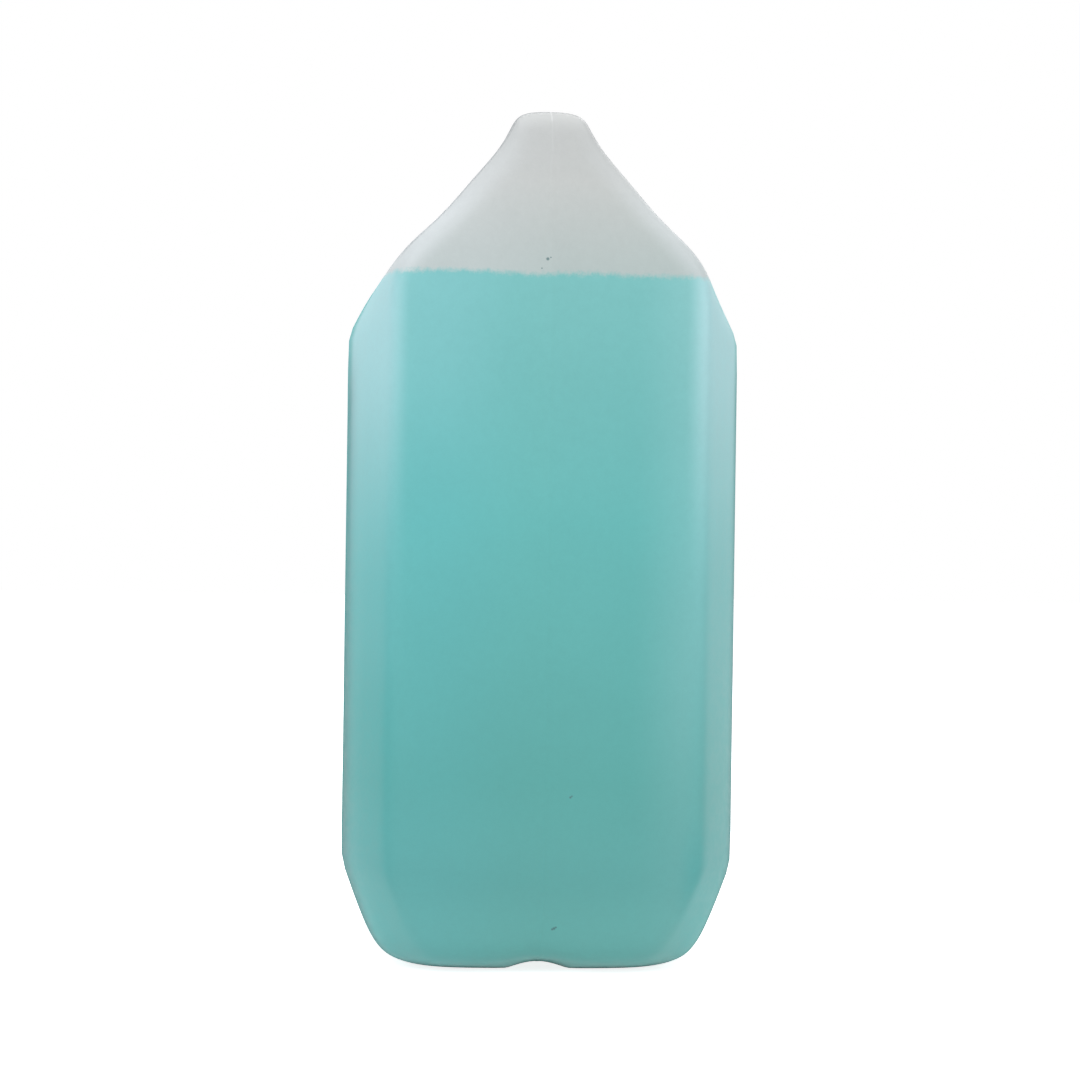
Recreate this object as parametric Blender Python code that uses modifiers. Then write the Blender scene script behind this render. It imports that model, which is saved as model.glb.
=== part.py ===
"""Five-litre blow-moulded refill jug with a grip handle, its liquid and its screw cap.

Metres, +Z up. The origin is the middle of the base. The rear end wall faces -Y and the neck is
towards +Y, so X runs across the jug and Y along it.
"""

import math

import bmesh
import bpy
from mathutils import Vector

# Body
BODY_WIDTH = 0.1325
BODY_LENGTH = 0.185
WALL = 0.0010
END_PANEL_WIDTH = 0.096
END_TAPER = 0.030
END_CORNER_SETBACK = 0.0032
END_CORNER_WIDTH = 0.0048
SHOULDER_Z = 0.2125

# Foot: the slanted band round the base, the flats that it stands on and the groove between them
FOOT_HEIGHT = 0.0355
FOOT_INSET = 0.0100
FOOT_BEND_Z = 0.0075
FOOT_RIM_Z = 0.0023
FOOT_RIM_INSET = 0.0175
FOOT_FLAT_INSET = 0.0285
FOOT_CORNER_INSET = 0.0220
GROOVE_HALF_WIDTH = 0.0105
GROOVE_DEPTH = 0.0036

# Heights above the shoulder, each from the one before it
ROOF_RISE = 0.0230
GAP_HEIGHT = 0.0270
GRIP_HEIGHT = 0.0257
NECK_BASE_RISE = 0.0180
LEVEL_OVER_SHOULDER = 0.0190

# Roof and finger gap
ROOF_WIDTH = 0.1105
ROOF_END_SETBACK = 0.0010
GAP_REAR_SETBACK = 0.0345
GAP_TO_NECK = 0.0390
GAP_LEG_ROUNDING = 0.004

# Gable that carries the handle: half widths behind the finger gap, and at the gap's edge
GABLE_LOW_HALF_WIDTH = 0.038
GABLE_HIGH_HALF_WIDTH = 0.0275
GABLE_TOP_HALF_WIDTH = 0.016
GABLE_REAR_INSET = 0.0005
GAP_LOW_HALF_WIDTH = 0.0335
GAP_HIGH_HALF_WIDTH = 0.019
GABLE_LEAN = 0.0130
GABLE_LOW_LEAN = 0.0020
GABLE_HIGH_LEAN = 0.0050
GABLE_TOP_LEAN = 0.0085

# Grip and crown of the handle
GRIP_WIDTH = 0.028
GRIP_UNDERSIDE_WIDTH = 0.0224
GRIP_ROOT_WIDTH = 0.0324
GRIP_FRONT_HALF_WIDTH = 0.0145
GRIP_FRONT_RISE = 0.0055
CROWN_HALF_WIDTH = 0.012
CROWN_FRONT_SETBACK = 0.009
CROWN_EDGE_DROP = 0.0027
CROWN_END_DROP = 0.0012

# Block below the neck
NECK_SETBACK = 0.0385
BOSS_RADIUS = 0.0245
BOSS_EDGE_DROP = 0.0008
BLOCK_HALF_WIDTHS = (0.031, 0.036, 0.0375, 0.038, 0.038, 0.037, 0.034, 0.027)
BLOCK_STATION_STEP = 0.0085
BLOCK_FRONT_SETBACK = 0.0075
BLOCK_CORNER_SETBACK = 0.007

# Neck finish
NECK_RADIUS = 0.0176
NECK_BORE_RADIUS = 0.0155
NECK_ROOT = 0.0018
NECK_EDGE = 0.0006
BEAD_RISE = 0.0055
BEAD_HEIGHT = 0.0025
BEAD_OVERHANG = 0.0017
RIM_LAND = 0.0038

# Thread, shared by the neck and the cap
THREAD_PITCH = 0.0040
THREAD_HEIGHT = 0.0013
THREAD_ROOT_WIDTH = 0.0019
THREAD_CREST_WIDTH = 0.0010
THREAD_RUN_OUT = 0.08
THREAD_BITE = 0.0006
THREAD_CLEARANCE = 0.0005
NECK_THREAD_TURNS = 1.25
CAP_THREAD_TURNS = 1.0

# Screw cap, its liner and the tamper band
CAP_WALL = 0.0016
CAP_EDGE = 0.0012
RIB_COUNT = 36
RIB_DEPTH = 0.0005
LINER_THICKNESS = 0.0010
BAND_HEIGHT = 0.0060
BAND_WALL = 0.0013
BAND_EDGE = 0.0004
BAND_LIP_HEIGHT = 0.0022
BAND_LIP_CLEARANCE = 0.00085
BAND_TO_BEAD = 0.0004
BAND_TO_CAP = 0.0006

# Gap between the contents and the wall
LIQUID_GAP = 0.0008

# Fits and resolution
FIT_GAP = 0.0003
MERGE = 0.00001
ROUND_STEPS = 40
SUBDIVISIONS = 1

# The cage is a lattice of cells: columns from the middle plane to the side, stations from the
# rear wall to the front, levels from the base to the crown
COLUMNS = 3
STATIONS = 12
COLUMN_SHARES = (0.0, 0.36, 0.72, 1.0)
BEND_LEVEL, FOOT_LEVEL, BODY_LEVEL, SHOULDER_LEVEL, ROOF_LEVEL = range(1, 6)
GAP_LEVEL, UNDERSIDE_LEVEL, GRIP_LEVEL, CROWN_LEVEL = range(6, 10)
REAR_LEG, FRONT_LEG, GRIP_END = 2, 5, 6
RING_START, RING_MIDDLE, RING_END = 7, 9, 11
RING_COLUMNS = 2
EDGE_CREASE = 0.9
CORNER_CREASE = 0.35
GABLE_CREASE = 0.15

# A closed ring of 16 control points settles on a circle this much smaller when it is subdivided
RING_SHRINK = (3 + math.cos(math.pi / 8)) / 4

HALF_WIDTH = BODY_WIDTH / 2
HALF_LENGTH = BODY_LENGTH / 2
HALF_PANEL = END_PANEL_WIDTH / 2
CORNER_X = HALF_PANEL + END_CORNER_WIDTH
NECK_Y = HALF_LENGTH - NECK_SETBACK
GAP_REAR_Y = -HALF_LENGTH + GAP_REAR_SETBACK
GAP_FRONT_Y = NECK_Y - GAP_TO_NECK
ROOF_Z = SHOULDER_Z + ROOF_RISE
UNDERSIDE_Z = ROOF_Z + GAP_HEIGHT
CROWN_Z = UNDERSIDE_Z + GRIP_HEIGHT
NECK_BASE_Z = ROOF_Z + NECK_BASE_RISE
LEVEL_Z = SHOULDER_Z + LEVEL_OVER_SHOULDER
BEAD_Z = NECK_BASE_Z + BEAD_RISE
BEAD_RADIUS = NECK_RADIUS + BEAD_OVERHANG
BAND_TOP_Z = BEAD_Z + BEAD_HEIGHT + FIT_GAP
SKIRT_Z = BAND_TOP_Z + BAND_TO_CAP
CAP_THREAD_Z = SKIRT_Z + THREAD_ROOT_WIDTH / 2 + FIT_GAP
NECK_THREAD_Z = CAP_THREAD_Z + THREAD_PITCH / 2
RIM_Z = NECK_THREAD_Z + THREAD_PITCH * NECK_THREAD_TURNS + RIM_LAND
LINER_Z = RIM_Z + FIT_GAP
CAP_CEILING_Z = LINER_Z + LINER_THICKNESS + FIT_GAP
CAP_TOP_Z = CAP_CEILING_Z + CAP_WALL
CAP_BORE_RADIUS = NECK_RADIUS + THREAD_HEIGHT + THREAD_CLEARANCE
CAP_RADIUS = CAP_BORE_RADIUS + CAP_WALL + RIB_DEPTH


def clear_scene():
    for old in list(bpy.data.objects):
        bpy.data.objects.remove(old, do_unlink=True)


def new_collection(name):
    made = bpy.data.collections.new(name)
    bpy.context.scene.collection.children.link(made)
    return made


def add_object(name, mesh, collection):
    made = bpy.data.objects.new(name, mesh)
    collection.objects.link(made)
    return made


def as_helper(made):
    """Marks a cutter or a shape that a Boolean uses, so that it is no part of the jug."""
    made.hide_render = True
    made.display_type = "WIRE"
    return made


def plastic(name, colour, roughness):
    material = bpy.data.materials.new(name)
    material.use_nodes = True
    shader = material.node_tree.nodes["Principled BSDF"]
    shader.inputs["Base Color"].default_value = (*colour, 1.0)
    shader.inputs["Roughness"].default_value = roughness
    shader.inputs["Metallic"].default_value = 0.0
    return material


def smooth(made, angle_deg=35):
    made.data.shade_smooth()
    made.data.set_sharp_from_angle(angle=math.radians(angle_deg))


def mix(start, end, share):
    return start + (end - start) * share


def around_neck(radius, angle, z):
    return Vector((radius * math.cos(angle), NECK_Y + radius * math.sin(angle), z))


def ring_angle(column, station):
    """The angle of a point of the neck opening, from -90 degrees at its rear to 90 at its front."""
    if station == RING_START:
        step = column
    elif station == RING_END:
        step = 8 - column
    else:
        step = RING_COLUMNS + station - RING_START
    return math.radians(-90 + 180 / 8 * step)


def boss_angle(column, station):
    """The angle of a point on the boss's edge, one step outside the neck opening."""
    if station == GRIP_END:
        step = column
    elif station == STATIONS:
        step = 12 - column
    else:
        step = COLUMNS + station - GRIP_END
    return math.radians(-90 + 180 / 12 * step)


def body_stations(inset):
    """The stations along a level of the body: a taper at each end and even steps between."""
    half = HALF_LENGTH - inset
    straight = HALF_LENGTH - END_TAPER
    steps = STATIONS - 4
    middle = [mix(-straight, straight, n / steps) for n in range(steps + 1)]
    taper = (half + straight) / 2
    return [-half, -taper, *middle, taper, half]


def body_point(column, station, z, inset):
    """A point of the body's wall: a flat end panel, a tapering cheek and a straight broad side."""
    y = body_stations(inset)[station]
    corner = CORNER_X - inset
    side = HALF_WIDTH - inset
    share = COLUMN_SHARES[column]
    if station in (0, STATIONS):
        panel = HALF_PANEL - inset
        x = (0.0, panel / 2, panel, corner)[column]
        if column == COLUMNS:
            y -= math.copysign(END_CORNER_SETBACK, y)
    elif station in (1, STATIONS - 1):
        x = share * (corner + side) / 2
    else:
        x = share * side
    return Vector((x, y, z))


def base_point(column, station):
    """A point of the underside: a flat foot inside a lifted rim, with a groove down the middle."""
    on_rim = column == COLUMNS or station in (0, STATIONS)
    if on_rim:
        point = body_point(column, station, FOOT_RIM_Z, FOOT_RIM_INSET)
    else:
        point = body_point(column, station, 0.0, FOOT_FLAT_INSET)
        flat_end = HALF_LENGTH - FOOT_FLAT_INSET
        point.y = max(-flat_end, min(flat_end, point.y))
        at_taper = station in (1, STATIONS - 1)
        flat_side = CORNER_X - FOOT_CORNER_INSET if at_taper else HALF_WIDTH - FOOT_FLAT_INSET
        point.x = (0.0, GROOVE_HALF_WIDTH, flat_side)[column]
    if column == 1:
        point.x = GROOVE_HALF_WIDTH
    if column == 0:
        point.z += GROOVE_DEPTH
    return point


def bend_point(column, station):
    """A point of the bend between the underside and the slanted band, notched by the groove."""
    point = body_point(column, station, FOOT_BEND_Z, FOOT_INSET)
    if column == 0 and station in (0, STATIONS):
        point.y -= math.copysign(GROOVE_DEPTH / 2, point.y)
    return point


def roof_point(column, station):
    """A point of the level where the slanted shoulder ends, which is also the finger gap's floor."""
    rear = -HALF_LENGTH + ROOF_END_SETBACK
    gap = [mix(GAP_REAR_Y, GAP_FRONT_Y, n / 3) for n in range(4)]
    neck = [NECK_Y + BLOCK_STATION_STEP * n for n in (-3, -2, -1, 0, 1, 2)]
    y = [rear, (rear + GAP_REAR_Y) / 2, *gap, *neck, HALF_LENGTH - ROOF_END_SETBACK][station]
    x = COLUMN_SHARES[column] * ROOF_WIDTH / 2
    if station in (0, STATIONS):
        panel = ROOF_WIDTH / 2 - END_CORNER_WIDTH
        x = (0.0, panel / 2, panel, panel + END_CORNER_SETBACK)[column]
        if column == COLUMNS:
            y -= math.copysign(END_CORNER_SETBACK, y)
    return Vector((x, y, ROOF_Z))


def gable_point(column, station, z, lean, half_width, gap_half_width, gap_y):
    """A point of the gable between the rear wall and the finger gap, at one height."""
    rear = -HALF_LENGTH + lean
    y = (rear, (rear + gap_y) / 2, gap_y)[station]
    if station == 0 and column == COLUMNS:
        y += END_CORNER_SETBACK
    half = (half_width - GABLE_REAR_INSET, half_width, gap_half_width)[station]
    return Vector((COLUMN_SHARES[column] * half, y, z))


def gap_point(column, station):
    """A point halfway up the finger gap, on the gable or on the block below the neck."""
    share = COLUMN_SHARES[column]
    middle_z = (ROOF_Z + UNDERSIDE_Z) / 2
    if station <= REAR_LEG:
        widths = GABLE_LOW_HALF_WIDTH, GAP_LOW_HALF_WIDTH
        return gable_point(column, station, middle_z, GABLE_LOW_LEAN, *widths, GAP_REAR_Y)
    x = share * BLOCK_HALF_WIDTHS[station - FRONT_LEG]
    if station == FRONT_LEG:
        return Vector((x, GAP_FRONT_Y, middle_z))
    if station == STATIONS:
        y = HALF_LENGTH - BLOCK_FRONT_SETBACK
        if column == COLUMNS:
            y -= BLOCK_CORNER_SETBACK
    else:
        y = NECK_Y + BLOCK_STATION_STEP * (station - RING_MIDDLE)
    return Vector((x, y, (ROOF_Z + NECK_BASE_Z) / 2))


def underside_point(column, station):
    """A point level with the grip's underside, or on the flat that carries the neck."""
    share = COLUMN_SHARES[column]
    if station <= REAR_LEG:
        gap_y = GAP_REAR_Y + GAP_LEG_ROUNDING
        widths = GABLE_HIGH_HALF_WIDTH, GAP_HIGH_HALF_WIDTH
        return gable_point(column, station, UNDERSIDE_Z, GABLE_HIGH_LEAN, *widths, gap_y)
    if station < FRONT_LEG:
        y = mix(GAP_REAR_Y, GAP_FRONT_Y, (station - REAR_LEG) / 3)
        return Vector((share * GRIP_UNDERSIDE_WIDTH / 2, y, UNDERSIDE_Z))
    if station == FRONT_LEG:
        y = GAP_FRONT_Y - GAP_LEG_ROUNDING
        return Vector((share * GRIP_ROOT_WIDTH / 2, y, UNDERSIDE_Z))
    if column <= RING_COLUMNS and RING_START <= station <= RING_END:
        radius = (NECK_BORE_RADIUS + NECK_RADIUS) / 2 / RING_SHRINK
        if column == RING_COLUMNS or station in (RING_START, RING_END):
            return around_neck(radius, ring_angle(column, station), NECK_BASE_Z)
        y = NECK_Y + (station - RING_MIDDLE) * radius / 2
        return Vector((column * radius / 2, y, NECK_BASE_Z))
    return around_neck(BOSS_RADIUS, boss_angle(column, station), NECK_BASE_Z - BOSS_EDGE_DROP)


def grip_point(column, station):
    """A point of the grip's widest level, which slopes down to the neck at its front."""
    share = COLUMN_SHARES[column]
    z = (UNDERSIDE_Z + CROWN_Z) / 2
    gap_y = GAP_REAR_Y + GAP_LEG_ROUNDING * 2
    if station <= REAR_LEG:
        widths = GABLE_TOP_HALF_WIDTH, GRIP_WIDTH / 2
        return gable_point(column, station, z, GABLE_TOP_LEAN, *widths, gap_y)
    if station == GRIP_END:
        y = NECK_Y - BOSS_RADIUS - GAP_LEG_ROUNDING
        return Vector((share * GRIP_FRONT_HALF_WIDTH, y, NECK_BASE_Z + GRIP_FRONT_RISE))
    y = mix(gap_y, GAP_FRONT_Y, (station - REAR_LEG) / 3)
    return Vector((share * GRIP_WIDTH / 2, y, z))


def crown_point(column, station):
    """A point of the handle's crown."""
    rear = -HALF_LENGTH + GABLE_LEAN
    y = mix(rear, GAP_FRONT_Y - CROWN_FRONT_SETBACK, station / FRONT_LEG)
    drop = CROWN_EDGE_DROP * COLUMN_SHARES[column] ** 4
    if station in (0, FRONT_LEG):
        drop += CROWN_END_DROP
    return Vector((COLUMN_SHARES[column] * CROWN_HALF_WIDTH, y, CROWN_Z - drop))


def wall_point(z):
    return lambda column, station: body_point(column, station, z, 0.0)


LEVEL_POINTS = {
    0: base_point,
    BEND_LEVEL: bend_point,
    FOOT_LEVEL: wall_point(FOOT_HEIGHT),
    BODY_LEVEL: wall_point((FOOT_HEIGHT + SHOULDER_Z) / 2),
    SHOULDER_LEVEL: wall_point(SHOULDER_Z),
    ROOF_LEVEL: roof_point,
    GAP_LEVEL: gap_point,
    UNDERSIDE_LEVEL: underside_point,
    GRIP_LEVEL: grip_point,
    CROWN_LEVEL: crown_point,
}


def is_filled(column, station, level):
    """True if the cell whose lowest corner is this point belongs to the jug."""
    if not (0 <= column < COLUMNS and 0 <= station < STATIONS and 0 <= level < CROWN_LEVEL):
        return False
    if level < ROOF_LEVEL:
        return True
    if level < UNDERSIDE_LEVEL:
        return station < REAR_LEG or station >= FRONT_LEG
    return station < (GRIP_END if level == UNDERSIDE_LEVEL else FRONT_LEG)


# Each side of a cell that can lie on the surface: the way that it faces, and its corners in turn
CELL_SIDES = (
    ((1, 0, 0), ((1, 0, 0), (1, 1, 0), (1, 1, 1), (1, 0, 1))),
    ((0, -1, 0), ((0, 0, 0), (1, 0, 0), (1, 0, 1), (0, 0, 1))),
    ((0, 1, 0), ((1, 1, 0), (0, 1, 0), (0, 1, 1), (1, 1, 1))),
    ((0, 0, -1), ((0, 0, 0), (0, 1, 0), (1, 1, 0), (1, 0, 0))),
    ((0, 0, 1), ((0, 0, 1), (1, 0, 1), (1, 1, 1), (0, 1, 1))),
)


def step(cell, move):
    return tuple(a + b for a, b in zip(cell, move))


def in_neck_opening(cell, side):
    column, station, level = cell
    on_top = side == (0, 0, 1) and level == UNDERSIDE_LEVEL - 1
    return on_top and column < RING_COLUMNS and RING_START <= station < RING_END


def crease_of(first, second):
    """How sharp the cage's edge between two points is, from 0 to 1."""
    on_side = first[0] == second[0] == COLUMNS
    on_end = first[1] == second[1] and first[1] in (0, STATIONS)
    if first[2] == second[2]:
        if first[2] == FOOT_LEVEL and (on_side or on_end):
            return EDGE_CREASE
        if first[2] == SHOULDER_LEVEL and on_side:
            return EDGE_CREASE
        if first[2] == 0 and first[0] == second[0] == 1:
            return 1.0
    elif on_side and on_end and min(first[2], second[2]) >= BEND_LEVEL:
        return CORNER_CREASE if max(first[2], second[2]) <= ROOF_LEVEL else GABLE_CREASE
    return 0.0


def cage_mesh(name, neck_open):
    """Half of the jug's outer surface, open at the middle plane, for a Mirror modifier."""
    bm = bmesh.new()
    points = {}
    for column in range(COLUMNS):
        for station in range(STATIONS):
            for level in range(CROWN_LEVEL):
                cell = (column, station, level)
                if not is_filled(*cell):
                    continue
                for side, corners in CELL_SIDES:
                    if is_filled(*step(cell, side)) or neck_open and in_neck_opening(cell, side):
                        continue
                    keys = [step(cell, corner) for corner in corners]
                    for key in keys:
                        if key not in points:
                            points[key] = bm.verts.new(LEVEL_POINTS[key[2]](key[0], key[1]))
                    bm.faces.new([points[key] for key in keys])
    crease = bm.edges.layers.float.new("crease_edge")
    key_of = {point: key for key, point in points.items()}
    for edge in bm.edges:
        edge[crease] = crease_of(*(key_of[end] for end in edge.verts))
    mesh = bpy.data.meshes.new(name)
    bm.to_mesh(mesh)
    bm.free()
    return mesh


def outer_surface(name, collection, neck_open):
    """The jug's outer surface as an object: the cage, mirrored and subdivided."""
    made = add_object(name, cage_mesh(name, neck_open), collection)
    mirror = made.modifiers.new("halves", "MIRROR")
    mirror.use_axis[0] = True
    mirror.use_clip = True
    mirror.merge_threshold = MERGE
    rounding = made.modifiers.new("rounding", "SUBSURF")
    rounding.levels = rounding.render_levels = SUBDIVISIONS
    return made


def evaluated_mesh(made, name):
    bpy.context.view_layer.update()
    graph = bpy.context.evaluated_depsgraph_get()
    mesh = bpy.data.meshes.new_from_object(made.evaluated_get(graph))
    mesh.name = name
    return mesh


def turned(name, profile, collection):
    """A closed profile of (radius, z) points, down its outer side, turned about the neck's axis."""
    bm = bmesh.new()
    ring = [bm.verts.new((radius, 0.0, z)) for radius, z in profile]
    for point, following in zip(ring, [*ring[1:], ring[0]]):
        if point.co.x > 0 or following.co.x > 0:
            bm.edges.new((point, following))
    mesh = bpy.data.meshes.new(name)
    bm.to_mesh(mesh)
    bm.free()
    made = add_object(name, mesh, collection)
    made.location = (0.0, NECK_Y, 0.0)
    screw = made.modifiers.new("turn", "SCREW")
    screw.steps = screw.render_steps = ROUND_STEPS
    screw.use_merge_vertices = True
    screw.merge_threshold = MERGE
    screw.use_smooth_shade = True
    return made


def thread_ridge(name, collection, root_radius, outwards, start_z, turns):
    """A right-handed helical ridge on a wall of root_radius, running out to nothing at each end."""
    bm = bmesh.new()
    side = 1.0 if outwards else -1.0
    root = root_radius - side * THREAD_BITE
    sections = []
    steps = round(ROUND_STEPS * turns)
    for n in range(steps + 1):
        turn = turns * n / steps
        fade = min(1.0, turn / THREAD_RUN_OUT, (turns - turn) / THREAD_RUN_OUT)
        crest = mix(root_radius - side * THREAD_BITE / 2, root_radius + side * THREAD_HEIGHT, fade)
        angle = 2 * math.pi * turn
        z = start_z + THREAD_PITCH * turn
        outline = (
            (root, z - THREAD_ROOT_WIDTH / 2),
            (crest, z - THREAD_CREST_WIDTH / 2),
            (crest, z + THREAD_CREST_WIDTH / 2),
            (root, z + THREAD_ROOT_WIDTH / 2),
        )
        sections.append(
            [bm.verts.new((r * math.cos(angle), r * math.sin(angle), at)) for r, at in outline]
        )
    for one, two in zip(sections, sections[1:]):
        for n in range(4):
            bm.faces.new((one[n], one[(n + 1) % 4], two[(n + 1) % 4], two[n]))
    bm.faces.new(list(reversed(sections[0])))
    bm.faces.new(sections[-1])
    bmesh.ops.recalc_face_normals(bm, faces=bm.faces[:])
    mesh = bpy.data.meshes.new(name)
    bm.to_mesh(mesh)
    bm.free()
    made = add_object(name, mesh, collection)
    made.location = (0.0, NECK_Y, 0.0)
    return made


def join(made, other, operation):
    boolean = made.modifiers.new(f"{operation.lower()}_{other.name}", "BOOLEAN")
    boolean.operation = operation
    boolean.solver = "EXACT"
    boolean.object = as_helper(other)


def neck_finish(collection):
    """The neck's wall with its locking bead, which the jug's shell is joined to."""
    root_z = NECK_BASE_Z - NECK_ROOT
    bead_top = BEAD_Z + BEAD_HEIGHT
    profile = [
        (NECK_RADIUS - NECK_EDGE, RIM_Z),
        (NECK_RADIUS, RIM_Z - NECK_EDGE),
        (NECK_RADIUS, bead_top + NECK_EDGE * 2),
        (BEAD_RADIUS - NECK_EDGE, bead_top),
        (BEAD_RADIUS, BEAD_Z + NECK_EDGE),
        (BEAD_RADIUS, BEAD_Z),
        (NECK_RADIUS, BEAD_Z - FIT_GAP),
        (NECK_RADIUS, root_z),
        (NECK_BORE_RADIUS, root_z),
        (NECK_BORE_RADIUS, RIM_Z - NECK_EDGE),
        (NECK_BORE_RADIUS + NECK_EDGE, RIM_Z),
    ]
    return turned("neck_finish", profile, collection)


def make_jug(parts, helpers):
    jug = outer_surface("jug", parts, neck_open=True)
    shell = jug.modifiers.new("wall", "SOLIDIFY")
    shell.thickness = WALL
    shell.offset = -1.0
    shell.use_even_offset = True
    join(jug, neck_finish(helpers), "UNION")
    thread = thread_ridge(
        "neck_thread", helpers, NECK_RADIUS, True, NECK_THREAD_Z, NECK_THREAD_TURNS
    )
    join(jug, thread, "UNION")
    jug.data.materials.append(plastic("natural_polyethylene", (0.62, 0.66, 0.67), 0.40))
    smooth(jug)


def below_level(collection):
    """A box that holds everything below the liquid's level."""
    depth = LEVEL_Z * 1.1
    bpy.ops.mesh.primitive_cube_add(size=1.0, location=(0.0, 0.0, LEVEL_Z - depth / 2))
    box = bpy.context.object
    box.name = "below_level"
    box.scale = (BODY_WIDTH * 1.2, BODY_LENGTH * 1.2, depth)
    for holder in list(box.users_collection):
        holder.objects.unlink(box)
    collection.objects.link(box)
    return box


def make_liquid(parts, helpers):
    """The contents: the inside of the jug up to the level, a small gap clear of the wall."""
    inside = outer_surface("inside", helpers, neck_open=False)
    mesh = evaluated_mesh(inside, "liquid")
    bpy.data.objects.remove(inside, do_unlink=True)
    bm = bmesh.new()
    bm.from_mesh(mesh)
    bm.normal_update()
    depth = WALL + LIQUID_GAP
    moves = [(point, point.normal * depth * point.calc_shell_factor()) for point in bm.verts]
    for point, move in moves:
        point.co -= move
    bm.to_mesh(mesh)
    bm.free()
    liquid = add_object("liquid", mesh, parts)
    join(liquid, below_level(helpers), "INTERSECT")
    liquid.data.materials.append(plastic("tinted_liquid", (0.10, 0.46, 0.44), 0.10))
    smooth(liquid)


def ribbed_outline(name, collection, radius, z, height):
    """A round outline with ribs of RIB_DEPTH, as thick as height, standing on z."""
    curve = bpy.data.curves.new(name, "CURVE")
    curve.dimensions = "2D"
    curve.fill_mode = "BOTH"
    curve.extrude = height / 2
    spline = curve.splines.new("POLY")
    root = radius - RIB_DEPTH
    corners = []
    for n in range(RIB_COUNT):
        for share, at in ((-0.28, root), (-0.14, radius), (0.14, radius), (0.28, root)):
            angle = 2 * math.pi * (n + share) / RIB_COUNT
            corners.append((at * math.cos(angle), at * math.sin(angle), 0.0, 1.0))
    spline.points.add(len(corners) - 1)
    for point, corner in zip(spline.points, corners):
        point.co = corner
    spline.use_cyclic_u = True
    made = add_object(name, curve, collection)
    made.location = (0.0, NECK_Y, z + height / 2)
    return made


def as_mesh(curve_object, collection):
    """A curve object made a mesh with its caps welded, so that a Boolean can use it."""
    name = curve_object.name
    mesh = evaluated_mesh(curve_object, name)
    place = curve_object.matrix_world.copy()
    bpy.data.objects.remove(curve_object, do_unlink=True)
    bm = bmesh.new()
    bm.from_mesh(mesh)
    bmesh.ops.remove_doubles(bm, verts=bm.verts[:], dist=MERGE)
    bmesh.ops.recalc_face_normals(bm, faces=bm.faces[:])
    bm.to_mesh(mesh)
    bm.free()
    made = add_object(name, mesh, collection)
    made.matrix_world = place
    return made


def make_cap(parts, helpers):
    """The screw cap: a ribbed skirt under a plain crown, hollowed and threaded."""
    skirt_top = CAP_TOP_Z - CAP_EDGE
    crown_radius = CAP_RADIUS - RIB_DEPTH
    outline = ribbed_outline("screw_cap", parts, CAP_RADIUS, SKIRT_Z, skirt_top - SKIRT_Z)
    cap = as_mesh(outline, parts)
    crown_profile = [
        (0.0, CAP_TOP_Z),
        (crown_radius - CAP_EDGE, CAP_TOP_Z),
        (crown_radius - CAP_EDGE / 3, CAP_TOP_Z - CAP_EDGE / 3),
        (crown_radius + RIB_DEPTH / 2, skirt_top - FIT_GAP),
        (0.0, skirt_top - FIT_GAP),
    ]
    join(cap, turned("cap_crown", crown_profile, helpers), "UNION")
    below_skirt = SKIRT_Z - CAP_WALL
    hollow_profile = [
        (0.0, CAP_CEILING_Z),
        (CAP_BORE_RADIUS, CAP_CEILING_Z),
        (CAP_BORE_RADIUS, below_skirt),
        (0.0, below_skirt),
    ]
    join(cap, turned("cap_hollow", hollow_profile, helpers), "DIFFERENCE")
    thread = thread_ridge(
        "cap_thread", helpers, CAP_BORE_RADIUS, False, CAP_THREAD_Z, CAP_THREAD_TURNS
    )
    join(cap, thread, "UNION")
    cap.data.materials.append(plastic("white_polypropylene", (0.80, 0.80, 0.78), 0.42))
    smooth(cap)


def make_liner(parts):
    """The sealing disc between the rim and the cap's ceiling."""
    radius = CAP_BORE_RADIUS - FIT_GAP
    top = LINER_Z + LINER_THICKNESS
    liner = turned(
        "cap_liner", [(0.0, top), (radius, top), (radius, LINER_Z), (0.0, LINER_Z)], parts
    )
    liner.data.materials.append(plastic("foam_liner", (0.74, 0.74, 0.71), 0.80))


def make_band(parts):
    """The tamper band: a ring round the bead with a lip that catches under it."""
    inner = BEAD_RADIUS + BAND_TO_BEAD
    outer = inner + BAND_WALL
    lip = NECK_RADIUS + BAND_LIP_CLEARANCE
    foot = BAND_TOP_Z - BAND_HEIGHT
    lip_top = foot + BAND_LIP_HEIGHT
    profile = [
        (outer, BAND_TOP_Z),
        (outer, foot + BAND_EDGE),
        (outer - BAND_EDGE, foot),
        (inner, foot),
        (lip, lip_top - BAND_EDGE * 2),
        (lip, lip_top),
        (inner, lip_top + BAND_EDGE),
        (inner, BAND_TOP_Z),
    ]
    band = turned("tamper_band", profile, parts)
    band.data.materials.append(bpy.data.materials["white_polypropylene"])


def main():
    clear_scene()
    parts = new_collection("refill_jug")
    helpers = new_collection("helpers")
    make_jug(parts, helpers)
    make_liquid(parts, helpers)
    make_cap(parts, helpers)
    make_liner(parts)
    make_band(parts)


main()
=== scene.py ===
"""Looks of the refill jug: a fine surface for its wall, cap, liner and tamper band, its
materials, a plain studio and the camera. Metres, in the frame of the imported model."""

import math

import bmesh
import bpy
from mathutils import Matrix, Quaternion, Vector


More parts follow.
